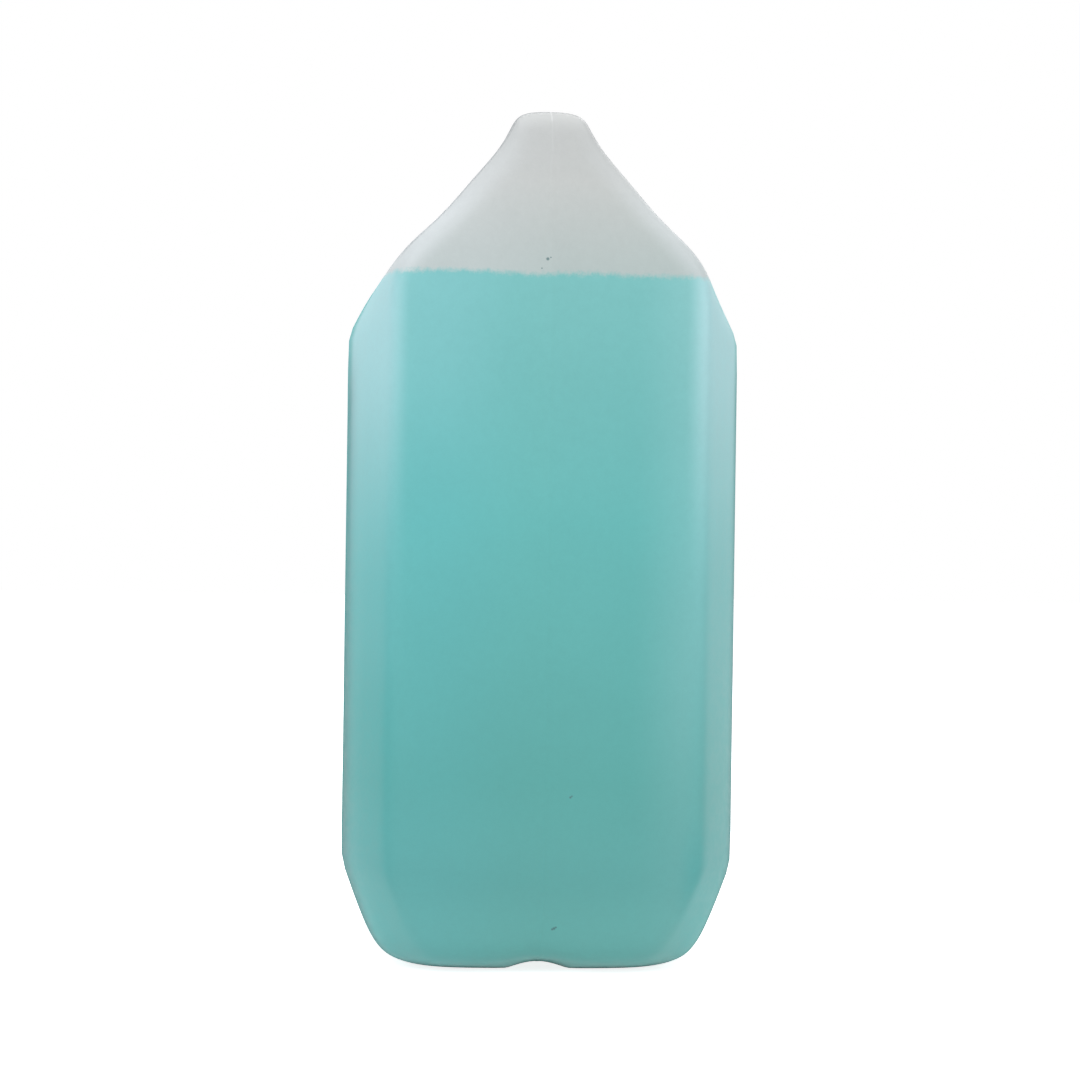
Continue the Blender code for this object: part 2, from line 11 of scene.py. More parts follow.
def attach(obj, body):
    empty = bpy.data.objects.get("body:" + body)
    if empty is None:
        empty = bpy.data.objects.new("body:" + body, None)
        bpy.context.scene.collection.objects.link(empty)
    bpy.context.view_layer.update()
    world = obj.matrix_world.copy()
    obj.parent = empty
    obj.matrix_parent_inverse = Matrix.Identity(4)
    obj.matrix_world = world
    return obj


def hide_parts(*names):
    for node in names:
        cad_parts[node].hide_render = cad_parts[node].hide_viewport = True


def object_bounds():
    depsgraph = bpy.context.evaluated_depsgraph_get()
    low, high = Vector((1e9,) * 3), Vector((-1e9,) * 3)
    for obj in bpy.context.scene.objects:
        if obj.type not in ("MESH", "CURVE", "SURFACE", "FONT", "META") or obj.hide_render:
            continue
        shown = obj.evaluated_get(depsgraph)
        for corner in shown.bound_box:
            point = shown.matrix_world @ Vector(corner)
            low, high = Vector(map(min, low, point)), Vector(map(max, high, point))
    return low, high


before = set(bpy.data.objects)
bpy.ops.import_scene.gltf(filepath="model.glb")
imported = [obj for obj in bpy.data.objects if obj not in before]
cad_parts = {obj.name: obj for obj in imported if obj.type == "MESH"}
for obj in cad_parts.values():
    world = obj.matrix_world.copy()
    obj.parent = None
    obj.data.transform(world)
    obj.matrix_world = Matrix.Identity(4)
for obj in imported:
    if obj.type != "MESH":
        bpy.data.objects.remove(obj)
cad_low, cad_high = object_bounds()

# Body, as in the part's source
BODY_WIDTH = 0.1325
BODY_LENGTH = 0.185
WALL = 0.0010
END_PANEL_WIDTH = 0.096
END_TAPER = 0.030
END_CORNER_SETBACK = 0.0032
END_CORNER_WIDTH = 0.0048
SHOULDER_Z = 0.2125

# Foot
FOOT_HEIGHT = 0.0355
FOOT_INSET = 0.0100
FOOT_BEND_Z = 0.0075
FOOT_RIM_Z = 0.0023
FOOT_RIM_INSET = 0.0175
FOOT_FLAT_INSET = 0.0285
FOOT_CORNER_INSET = 0.0220
GROOVE_HALF_WIDTH = 0.0105
GROOVE_DEPTH = 0.0036

# Heights above the shoulder, each from the one before it
ROOF_RISE = 0.0230
GAP_HEIGHT = 0.0270
GRIP_HEIGHT = 0.0257
NECK_BASE_RISE = 0.0180
LEVEL_OVER_SHOULDER = 0.0190

# Roof and finger gap
ROOF_WIDTH = 0.1105
ROOF_END_SETBACK = 0.0010
GAP_REAR_SETBACK = 0.0345
GAP_TO_NECK = 0.0390
GAP_LEG_ROUNDING = 0.004

# Gable that carries the handle: half widths behind the finger gap, and at the gap's edge
GABLE_LOW_HALF_WIDTH = 0.038
GABLE_HIGH_HALF_WIDTH = 0.0275
GABLE_TOP_HALF_WIDTH = 0.016
GABLE_REAR_INSET = 0.0005
GAP_LOW_HALF_WIDTH = 0.0335
GAP_HIGH_HALF_WIDTH = 0.019
GABLE_LEAN = 0.0130
GABLE_LOW_LEAN = 0.0020
GABLE_HIGH_LEAN = 0.0050
GABLE_TOP_LEAN = 0.0085

# Grip and crown of the handle
GRIP_WIDTH = 0.028
GRIP_UNDERSIDE_WIDTH = 0.0224
GRIP_ROOT_WIDTH = 0.0324
GRIP_FRONT_HALF_WIDTH = 0.0145
GRIP_FRONT_RISE = 0.0055
CROWN_HALF_WIDTH = 0.012
CROWN_FRONT_SETBACK = 0.009
CROWN_EDGE_DROP = 0.0027
CROWN_END_DROP = 0.0012

# Block below the neck
NECK_SETBACK = 0.0385
BOSS_RADIUS = 0.0245
BOSS_EDGE_DROP = 0.0008
BLOCK_HALF_WIDTHS = (0.031, 0.036, 0.0375, 0.038, 0.038, 0.037, 0.034, 0.027)
BLOCK_STATION_STEP = 0.0085
BLOCK_FRONT_SETBACK = 0.0075
BLOCK_CORNER_SETBACK = 0.007

# Neck finish
NECK_RADIUS = 0.0176
NECK_BORE_RADIUS = 0.0155
NECK_EDGE = 0.0006
NECK_FILLET = 0.0007
BEAD_RISE = 0.0055
BEAD_HEIGHT = 0.0025
BEAD_OVERHANG = 0.0017
RIM_LAND = 0.0038

# Thread, shared by the neck and the cap
THREAD_PITCH = 0.0040
THREAD_HEIGHT = 0.0013
THREAD_ROOT_WIDTH = 0.0019
THREAD_CREST_WIDTH = 0.0010
THREAD_RUN_OUT = 0.08
THREAD_CLEARANCE = 0.0005
NECK_THREAD_TURNS = 1.25
CAP_THREAD_TURNS = 1.0
THREAD_RING_STEP = 0.00028

# Screw cap
CAP_WALL = 0.0016
CAP_EDGE = 0.0012
RIB_COUNT = 36
RIB_DEPTH = 0.0005
SEGMENTS_PER_RIB = 8
CAP_LAND_HEIGHT = 0.0011
CAP_RECESS_RADIUS = 0.0160
CAP_RECESS_DEPTH = 0.00025
GATE_RADIUS = 0.0013
GATE_DEPTH = 0.00018

# Liner and tamper band
LINER_THICKNESS = 0.0010
LINER_DENT = 0.00012
BAND_HEIGHT = 0.0060
BAND_WALL = 0.0013
BAND_EDGE = 0.0004
BAND_LIP_HEIGHT = 0.0022
BAND_LIP_CLEARANCE = 0.00085
BAND_TO_BEAD = 0.0004
BAND_TO_CAP = 0.0006
BRIDGE_COUNT = 12
BRIDGE_HEIGHT = 0.00045
SEGMENTS_PER_BRIDGE = 16
FIT_GAP = 0.0003

# Seam of the mould, which runs round the middle plane, and the slight sink of the broad walls
SEAM_HALF_WIDTH = 0.00028
SEAM_SHOULDER = 0.00075
SEAM_HEIGHT = 0.00008
PANEL_SINK = 0.0006
SHARP_DEG = 50

# Colours of the wall at heights above the base, as they look on a screen from 0 to 255.
# The tinted stops hold painted light: lighter upwards, where the light from above falls, and
# paler at the very foot, in place of light bounced up from the floor.
TINT_AND_PAINTED_LIGHT = (
    (0.000, (132, 208, 202)),
    (0.008, (116, 190, 184)),
    (FOOT_HEIGHT, (98, 172, 167)),
    (0.065, (94, 171, 165)),
    (0.150, (104, 186, 182)),
    (0.232, (127, 196, 193)),
)
MILKY = (
    (0.230, (186, 198, 195)),
    (0.262, (200, 202, 199)),
    (0.282, (196, 197, 195)),
)
# Pale colours mixed in as painted light where the lamps fall on the wall; on the cheeks the tint's
# pale colour is also the thinner liquid behind them
PALE_TINT_AND_PAINTED_LIGHT = (212, 244, 250)
PAINTED_LIGHT_MILK = (228, 232, 234)
SEAM_WHITE = (238, 238, 238)

# Factors of red, green and blue for the cooler, paler and turned parts of the wall; the foot's and
# the turned corners' factors are painted shade
COOL_SHADE = (1.0, 1.04, 1.075, 1.0)
CHEEK_SHADE = (0.90, 1.0, 1.0, 1.0)
PAINTED_FOOT_SHADE = (0.84, 0.97, 0.98, 1.0)
PAINTED_EDGE_SHADE = (0.66, 0.68, 0.69, 1.0)

# Cheeks beside the end panels: from their inner edge to full strength, from where along the jug,
# and where they end on the broad walls; then the heights over which they pale, and by how much.
# Their paling is partly the thinner liquid behind them and partly painted light from the lamps at
# the sides, stronger higher up.
CHEEK_SHIFT = 0.0010
CHEEK_INNER = (0.0448, 0.0530)
CHEEK_ALONG = (0.060, 0.066)
CHEEK_OUTER = (0.0640, 0.0660)
CHEEK_LOW = (0.080, 0.120)
CHEEK_LOW_SHARE = 0.05
CHEEK_HIGH = (0.115, 0.235)
CHEEK_HIGH_SHARE = 0.51

# Painted shade low on the right cheek at the rear: where it starts and is full, or is full and ends
FOOT_ACROSS = (0.042, 0.050)
FOOT_RISE = (0.034, 0.056)
FOOT_ALONG = (-0.060, -0.066)

# Soft changes across the tinted wall: where each starts and is full, across or in height. The right
# and left glows are painted light.
COOL_SIDE = (0.000, -0.042)
RIGHT_GLOW = (0.026, 0.050)
RIGHT_GLOW_SHARE = 0.12
RIGHT_GLOW_RISE = (0.02, 0.11)
RIGHT_GLOW_LEAST = 0.3
LEFT_GLOW = (-0.008, -0.040)
LEFT_GLOW_SHARE = 0.06
LEFT_GLOW_RISE = (0.16, 0.21)

# Painted light across the milky wall: lighter on the left, and a painted highlight along the gable's
# flanks, stronger on the left. A gable's flank is the line on which the distance from the middle
# plane plus the height times the slope makes the reach, up to the handle.
MILKY_LEFT = (0.010, -0.035)
MILKY_LEFT_SHARE = 0.22
FLANK_SLOPE = 0.914
FLANK_REACH = 0.2648
FLANK_TOP = 0.270
FLANK_RIM = (-0.0120, -0.0005)
FLANK_FADE = (0.248, 0.272)
FLANK_LEAST = 0.35
FLANK_MIDDLE = 0.01
FLANK_LEFT_SHARE = 0.60
FLANK_RIGHT_SHARE = 0.45

# Level line: half its softness, and the size of the fine, middling and broad waves in it
LEVEL_SOFTNESS = 0.0014
LEVEL_GRAIN = 0.0016
LEVEL_CLOUD = 0.0026
LEVEL_WANDER = 0.0020

# Painted corner shade, a darker band where the wall turns away round the ends: how far the wall
# faces the ends where the shade sets in and where it fades out, and from where along the jug. It
# leaves out the roof: from a height up, and at the rear up to a top.
TURN_STARTS = (0.015, 0.06)
TURN_ENDS = (0.18, 0.42)
SHADE_ALONG = (0.052, 0.058)
NO_SHADE_Z = 0.190
FRONT_ROOF_ALONG = (0.0, 0.01)
REAR_ROOF_TOP = (0.234, 0.242)

# Seam line: where it fades across, and its strength at the gable's top and the crown's edge
SEAM_EDGE = (0.0001, 0.0004)
SEAM_GABLE = (0.264, 0.276)
SEAM_GABLE_SHARE = 0.06
SEAM_CROWN = (0.2822, 0.2836)
SEAM_CROWN_SHARE = 0.22

# Dark flecks in the plastic of the rear wall: across, height and radius
FLECK = (84, 118, 120)
FLECKS = (
    (-0.0016, 0.2362, 0.00055),
    (-0.0006, 0.2367, 0.00025),
    (-0.0035, 0.2331, 0.00025),
    (0.0082, 0.0603, 0.00040),
    (0.0087, 0.0607, 0.00030),
    (0.0034, 0.0161, 0.00040),
    (0.0040, 0.0164, 0.00050),
    (0.0046, 0.0168, 0.00035),
)

# Lattice of the cage, as in the part's source except for the groove's softer crease
MERGE = 0.00001
SUBDIVISIONS = 3
COLUMNS = 3
STATIONS = 12
COLUMN_SHARES = (0.0, 0.36, 0.72, 1.0)
BEND_LEVEL, FOOT_LEVEL, BODY_LEVEL, SHOULDER_LEVEL, ROOF_LEVEL = range(1, 6)
GAP_LEVEL, UNDERSIDE_LEVEL, GRIP_LEVEL, CROWN_LEVEL = range(6, 10)
REAR_LEG, FRONT_LEG, GRIP_END = 2, 5, 6
RING_START, RING_MIDDLE, RING_END = 7, 9, 11
RING_COLUMNS = 2
EDGE_CREASE = 0.9
CORNER_CREASE = 0.35
GABLE_CREASE = 0.15
GROOVE_CREASE = 0.6

# Camera: the photograph's place, turn and roll, and its field for a square image
CAMERA_TARGET = (0.0035, 0.0, 0.1443)
CAMERA_DISTANCE = 1.0
CAMERA_YAW_DEG = 4.0
CAMERA_ROLL_DEG = 0.8
CAMERA_LENS_MM = 92.67
SENSOR_MM = 36.0

HALF_WIDTH = BODY_WIDTH / 2
HALF_LENGTH = BODY_LENGTH / 2
HALF_PANEL = END_PANEL_WIDTH / 2
CORNER_X = HALF_PANEL + END_CORNER_WIDTH
NECK_Y = HALF_LENGTH - NECK_SETBACK
GAP_REAR_Y = -HALF_LENGTH + GAP_REAR_SETBACK
GAP_FRONT_Y = NECK_Y - GAP_TO_NECK
ROOF_Z = SHOULDER_Z + ROOF_RISE
UNDERSIDE_Z = ROOF_Z + GAP_HEIGHT
CROWN_Z = UNDERSIDE_Z + GRIP_HEIGHT
NECK_BASE_Z = ROOF_Z + NECK_BASE_RISE
LEVEL_Z = SHOULDER_Z + LEVEL_OVER_SHOULDER
BEAD_Z = NECK_BASE_Z + BEAD_RISE
BEAD_RADIUS = NECK_RADIUS + BEAD_OVERHANG
BAND_TOP_Z = BEAD_Z + BEAD_HEIGHT + FIT_GAP
SKIRT_Z = BAND_TOP_Z + BAND_TO_CAP
CAP_THREAD_Z = SKIRT_Z + THREAD_ROOT_WIDTH / 2 + FIT_GAP
NECK_THREAD_Z = CAP_THREAD_Z + THREAD_PITCH / 2
RIM_Z = NECK_THREAD_Z + THREAD_PITCH * NECK_THREAD_TURNS + RIM_LAND
LINER_Z = RIM_Z + FIT_GAP
CAP_CEILING_Z = LINER_Z + LINER_THICKNESS + FIT_GAP
CAP_TOP_Z = CAP_CEILING_Z + CAP_WALL
CAP_BORE_RADIUS = NECK_RADIUS + THREAD_HEIGHT + THREAD_CLEARANCE
CAP_RADIUS = CAP_BORE_RADIUS + CAP_WALL + RIB_DEPTH
RING_SHRINK = (3 + math.cos(math.pi / 8)) / 4


def place_camera():
    target = Vector(CAMERA_TARGET)
    yaw = math.radians(CAMERA_YAW_DEG)
    away = Vector((-math.sin(yaw), -math.cos(yaw), 0.0))
    roll = Quaternion((0.0, 0.0, 1.0), math.radians(CAMERA_ROLL_DEG))
    camera = bpy.data.objects.new("camera", bpy.data.cameras.new("camera"))
    bpy.context.scene.collection.objects.link(camera)
    camera.location = target + away * CAMERA_DISTANCE
    camera.rotation_mode = "QUATERNION"
    camera.rotation_quaternion = (-away).to_track_quat("-Z", "Y") @ roll
    camera.data.sensor_width = SENSOR_MM
    camera.data.lens = CAMERA_LENS_MM
    bpy.context.scene.camera = camera


place_camera()


def mix(start, end, share):
    return start + (end - start) * share


def ease(value, low, high):
    """0 below low, 1 above high and a smooth step between."""
    share = max(0.0, min(1.0, (value - low) / (high - low)))
    return share * share * (3 - 2 * share)


def around_neck(radius, angle, z):
    return Vector((radius * math.cos(angle), NECK_Y + radius * math.sin(angle), z))


def add_object(name, mesh):
    made = bpy.data.objects.new(name, mesh)
    bpy.context.scene.collection.objects.link(made)
    return made


# Cage of the jug, level by level
def ring_angle(column, station):
    if station == RING_START:
        step = column
    elif station == RING_END:
        step = 8 - column
    else:
        step = RING_COLUMNS + station - RING_START
    return math.radians(-90 + 180 / 8 * step)


def boss_angle(column, station):
    if station == GRIP_END:
        step = column
    elif station == STATIONS:
        step = 12 - column
    else:
        step = COLUMNS + station - GRIP_END
    return math.radians(-90 + 180 / 12 * step)


def body_stations(inset):
    half = HALF_LENGTH - inset
    straight = HALF_LENGTH - END_TAPER
    steps = STATIONS - 4
    middle = [mix(-straight, straight, n / steps) for n in range(steps + 1)]
    taper = (half + straight) / 2
    return [-half, -taper, *middle, taper, half]


def body_point(column, station, z, inset):
    y = body_stations(inset)[station]
    corner = CORNER_X - inset
    side = HALF_WIDTH - inset
    share = COLUMN_SHARES[column]
    if station in (0, STATIONS):
        panel = HALF_PANEL - inset
        x = (0.0, panel / 2, panel, corner)[column]
        if column == COLUMNS:
            y -= math.copysign(END_CORNER_SETBACK, y)
    elif station in (1, STATIONS - 1):
        x = share * (corner + side) / 2
    else:
        x = share * side
    return Vector((x, y, z))


def base_point(column, station):
    on_rim = column == COLUMNS or station in (0, STATIONS)
    if on_rim:
        point = body_point(column, station, FOOT_RIM_Z, FOOT_RIM_INSET)
    else:
        point = body_point(column, station, 0.0, FOOT_FLAT_INSET)
        flat_end = HALF_LENGTH - FOOT_FLAT_INSET
        point.y = max(-flat_end, min(flat_end, point.y))
        at_taper = station in (1, STATIONS - 1)
        flat_side = CORNER_X - FOOT_CORNER_INSET if at_taper else HALF_WIDTH - FOOT_FLAT_INSET
        point.x = (0.0, GROOVE_HALF_WIDTH, flat_side)[column]
    if column == 1:
        point.x = GROOVE_HALF_WIDTH
    if column == 0:
        point.z += GROOVE_DEPTH
    return point


def bend_point(column, station):
    point = body_point(column, station, FOOT_BEND_Z, FOOT_INSET)
    if column == 0 and station in (0, STATIONS):
        point.y -= math.copysign(GROOVE_DEPTH / 2, point.y)
    return point


def roof_point(column, station):
    rear = -HALF_LENGTH + ROOF_END_SETBACK
    gap = [mix(GAP_REAR_Y, GAP_FRONT_Y, n / 3) for n in range(4)]
    neck = [NECK_Y + BLOCK_STATION_STEP * n for n in (-3, -2, -1, 0, 1, 2)]
    y = [rear, (rear + GAP_REAR_Y) / 2, *gap, *neck, HALF_LENGTH - ROOF_END_SETBACK][station]
    x = COLUMN_SHARES[column] * ROOF_WIDTH / 2
    if station in (0, STATIONS):
        panel = ROOF_WIDTH / 2 - END_CORNER_WIDTH
        x = (0.0, panel / 2, panel, panel + END_CORNER_SETBACK)[column]
        if column == COLUMNS:
            y -= math.copysign(END_CORNER_SETBACK, y)
    return Vector((x, y, ROOF_Z))


def gable_point(column, station, z, lean, half_width, gap_half_width, gap_y):
    rear = -HALF_LENGTH + lean
    y = (rear, (rear + gap_y) / 2, gap_y)[station]
    if station == 0 and column == COLUMNS:
        y += END_CORNER_SETBACK
    half = (half_width - GABLE_REAR_INSET, half_width, gap_half_width)[station]
    return Vector((COLUMN_SHARES[column] * half, y, z))


def gap_point(column, station):
    share = COLUMN_SHARES[column]
    middle_z = (ROOF_Z + UNDERSIDE_Z) / 2
    if station <= REAR_LEG:
        widths = GABLE_LOW_HALF_WIDTH, GAP_LOW_HALF_WIDTH
        return gable_point(column, station, middle_z, GABLE_LOW_LEAN, *widths, GAP_REAR_Y)
    x = share * BLOCK_HALF_WIDTHS[station - FRONT_LEG]
    if station == FRONT_LEG:
        return Vector((x, GAP_FRONT_Y, middle_z))
    if station == STATIONS:
        y = HALF_LENGTH - BLOCK_FRONT_SETBACK
        if column == COLUMNS:
            y -= BLOCK_CORNER_SETBACK
    else:
        y = NECK_Y + BLOCK_STATION_STEP * (station - RING_MIDDLE)
    return Vector((x, y, (ROOF_Z + NECK_BASE_Z) / 2))


def underside_point(column, station):
    share = COLUMN_SHARES[column]
    if station <= REAR_LEG:
        gap_y = GAP_REAR_Y + GAP_LEG_ROUNDING
        widths = GABLE_HIGH_HALF_WIDTH, GAP_HIGH_HALF_WIDTH
        return gable_point(column, station, UNDERSIDE_Z, GABLE_HIGH_LEAN, *widths, gap_y)
    if station < FRONT_LEG:
        y = mix(GAP_REAR_Y, GAP_FRONT_Y, (station - REAR_LEG) / 3)
        return Vector((share * GRIP_UNDERSIDE_WIDTH / 2, y, UNDERSIDE_Z))
    if station == FRONT_LEG:
        y = GAP_FRONT_Y - GAP_LEG_ROUNDING
        return Vector((share * GRIP_ROOT_WIDTH / 2, y, UNDERSIDE_Z))
    if column <= RING_COLUMNS and RING_START <= station <= RING_END:
        radius = (NECK_RADIUS + NECK_FILLET) / RING_SHRINK
        if column == RING_COLUMNS or station in (RING_START, RING_END):
            return around_neck(radius, ring_angle(column, station), NECK_BASE_Z)
        y = NECK_Y + (station - RING_MIDDLE) * radius / 2
        return Vector((column * radius / 2, y, NECK_BASE_Z))
    return around_neck(BOSS_RADIUS, boss_angle(column, station), NECK_BASE_Z - BOSS_EDGE_DROP)


def grip_point(column, station):
    share = COLUMN_SHARES[column]
    z = (UNDERSIDE_Z + CROWN_Z) / 2
    gap_y = GAP_REAR_Y + GAP_LEG_ROUNDING * 2
    if station <= REAR_LEG:
        widths = GABLE_TOP_HALF_WIDTH, GRIP_WIDTH / 2
        return gable_point(column, station, z, GABLE_TOP_LEAN, *widths, gap_y)
    if station == GRIP_END:
        y = NECK_Y - BOSS_RADIUS - GAP_LEG_ROUNDING
        return Vector((share * GRIP_FRONT_HALF_WIDTH, y, NECK_BASE_Z + GRIP_FRONT_RISE))
    y = mix(gap_y, GAP_FRONT_Y, (station - REAR_LEG) / 3)
    return Vector((share * GRIP_WIDTH / 2, y, z))


def crown_point(column, station):
    rear = -HALF_LENGTH + GABLE_LEAN
    y = mix(rear, GAP_FRONT_Y - CROWN_FRONT_SETBACK, station / FRONT_LEG)
    drop = CROWN_EDGE_DROP * COLUMN_SHARES[column] ** 4
    if station in (0, FRONT_LEG):
        drop += CROWN_END_DROP
    return Vector((COLUMN_SHARES[column] * CROWN_HALF_WIDTH, y, CROWN_Z - drop))


def wall_point(z):
    return lambda column, station: body_point(column, station, z, 0.0)


LEVEL_POINTS = {
    0: base_point,
    BEND_LEVEL: bend_point,
    FOOT_LEVEL: wall_point(FOOT_HEIGHT),
    BODY_LEVEL: wall_point((FOOT_HEIGHT + SHOULDER_Z) / 2),
    SHOULDER_LEVEL: wall_point(SHOULDER_Z),
    ROOF_LEVEL: roof_point,
    GAP_LEVEL: gap_point,
    UNDERSIDE_LEVEL: underside_point,
    GRIP_LEVEL: grip_point,
    CROWN_LEVEL: crown_point,
}


def is_filled(column, station, level):
    if not (0 <= column < COLUMNS and 0 <= station < STATIONS and 0 <= level < CROWN_LEVEL):
        return False
    if level < ROOF_LEVEL:
        return True
    if level < UNDERSIDE_LEVEL:
        return station < REAR_LEG or station >= FRONT_LEG
    return station < (GRIP_END if level == UNDERSIDE_LEVEL else FRONT_LEG)


CELL_SIDES = (
    ((1, 0, 0), ((1, 0, 0), (1, 1, 0), (1, 1, 1), (1, 0, 1))),
    ((0, -1, 0), ((0, 0, 0), (1, 0, 0), (1, 0, 1), (0, 0, 1))),
    ((0, 1, 0), ((1, 1, 0), (0, 1, 0), (0, 1, 1), (1, 1, 1))),
    ((0, 0, -1), ((0, 0, 0), (0, 1, 0), (1, 1, 0), (1, 0, 0))),
    ((0, 0, 1), ((0, 0, 1), (1, 0, 1), (1, 1, 1), (0, 1, 1))),
)


def step(cell, move):
    return tuple(a + b for a, b in zip(cell, move))


def in_neck_opening(cell, side):
    column, station, level = cell
    on_top = side == (0, 0, 1) and level == UNDERSIDE_LEVEL - 1
    return on_top and column < RING_COLUMNS and RING_START <= station < RING_END


def crease_of(first, second):
    on_side = first[0] == second[0] == COLUMNS
    on_end = first[1] == second[1] and first[1] in (0, STATIONS)
    if first[2] == second[2]:
        if first[2] == FOOT_LEVEL and (on_side or on_end):
            return EDGE_CREASE
        if first[2] == SHOULDER_LEVEL and on_side:
            return EDGE_CREASE
        if first[2] == 0 and first[0] == second[0] == 1:
            return GROOVE_CREASE
    elif on_side and on_end and min(first[2], second[2]) >= BEND_LEVEL:
        return CORNER_CREASE if max(first[2], second[2]) <= ROOF_LEVEL else GABLE_CREASE
    return 0.0


def cage_mesh(name):
    bm = bmesh.new()
    points = {}
    for column in range(COLUMNS):
        for station in range(STATIONS):
            for level in range(CROWN_LEVEL):
                cell = (column, station, level)
                if not is_filled(*cell):
                    continue
                for side, corners in CELL_SIDES:
                    if is_filled(*step(cell, side)) or in_neck_opening(cell, side):
                        continue
                    keys = [step(cell, corner) for corner in corners]
                    for key in keys:
                        if key not in points:
                            points[key] = bm.verts.new(LEVEL_POINTS[key[2]](key[0], key[1]))
                    bm.faces.new([points[key] for key in keys])
    crease = bm.edges.layers.float.new("crease_edge")
    key_of = {point: key for key, point in points.items()}
    for edge in bm.edges:
        edge[crease] = crease_of(*(key_of[end] for end in edge.verts))
    mesh = bpy.data.meshes.new(name)
    bm.to_mesh(mesh)
    bm.free()
    return mesh


def fine_surface():
    """The jug's outer surface as a bmesh: the cage, mirrored and subdivided."""
    cage = add_object("cage", cage_mesh("cage"))
    mirror = cage.modifiers.new("halves", "MIRROR")
    mirror.use_axis[0] = True
    mirror.use_clip = True
    mirror.merge_threshold = MERGE
    rounding = cage.modifiers.new("rounding", "SUBSURF")
    rounding.levels = rounding.render_levels = SUBDIVISIONS
    bpy.context.view_layer.update()
    graph = bpy.context.evaluated_depsgraph_get()
    mesh = bpy.data.meshes.new_from_object(cage.evaluated_get(graph))
    bpy.data.objects.remove(cage, do_unlink=True)
    bm = bmesh.new()
    bm.from_mesh(mesh)
    bpy.data.meshes.remove(mesh)
    return bm


def seam_height(point):
    """How far the seam stands out at a point of the wall; it sinks into the crown."""
    on_crown = ease(point.normal.z, 0.75, 0.95) * ease(point.co.z, UNDERSIDE_Z, CROWN_Z - 0.004)
    return SEAM_HEIGHT * (1 - on_crown)


def add_seam(bm):
    """Raises a narrow ridge on the middle plane, where the mould's halves met."""
    for x in (-SEAM_SHOULDER, -SEAM_HALF_WIDTH, SEAM_HALF_WIDTH, SEAM_SHOULDER):
        parts = bm.verts[:] + bm.edges[:] + bm.faces[:]
        bmesh.ops.bisect_plane(
            bm, geom=parts, dist=MERGE, plane_co=(x, 0.0, 0.0), plane_no=(1.0, 0.0, 0.0)
        )
    bm.normal_update()
    on_seam = [point for point in bm.verts if abs(point.co.x) < SEAM_HALF_WIDTH + MERGE]
    moves = [(point, point.normal * seam_height(point)) for point in on_seam]
    for point, move in moves:
        point.co += move


def sink_walls(bm):
    """Draws the broad walls and end panels in a little between their edges, as they cooled."""
    low = FOOT_HEIGHT
    high = SHOULDER_Z
    for point in bm.verts:
        x, y, z = point.co
        if not low < z < ROOF_Z:
            continue
        top = ROOF_Z if abs(y) > HALF_LENGTH - END_TAPER else high
        rise = ease(z, low, low + 0.03) * (1 - ease(z, top - 0.03, top))
        if abs(y) > HALF_LENGTH - END_TAPER / 2:
            across = 1 - ease(abs(x), 0.0, HALF_PANEL)
            point.co.y -= math.copysign(PANEL_SINK * rise * across + SEAM_HEIGHT * rise, y)
        elif abs(x) > HALF_WIDTH - 0.004 and z < high:
            across = 1 - ease(abs(y), 0.0, HALF_LENGTH - END_TAPER)
            point.co.x -= math.copysign(PANEL_SINK * rise * across, x)


def thread_height(angle, z, start_z, turns):
    """How far the thread stands out of its wall at one place."""
    height = 0.0
    share = (angle / (2 * math.pi)) % 1.0
    for lap in range(math.ceil(turns) + 1):
        turn = share + lap
        if turn > turns:
            break
        off = abs(z - start_z - THREAD_PITCH * turn)
        flank = 1 - ease(off, THREAD_CREST_WIDTH / 2, THREAD_ROOT_WIDTH / 2)
        fade = ease(min(turn, turns - turn), 0.0, THREAD_RUN_OUT)
        height = max(height, THREAD_HEIGHT * flank * fade)
    return height


def steps_between(start, end, size):
    count = max(1, math.ceil(abs(end - start) / size))
    return [mix(start, end, n / count) for n in range(count + 1)]


def rounded(corner, radius, start_deg, end_deg, count=4):
    """Points (radius, z) of a small arc about a centre, for the edge of a profile."""
    angles = [math.radians(mix(start_deg, end_deg, n / count)) for n in range(count + 1)]
    return [(corner[0] + radius * math.cos(a), corner[1] + radius * math.sin(a)) for a in angles]


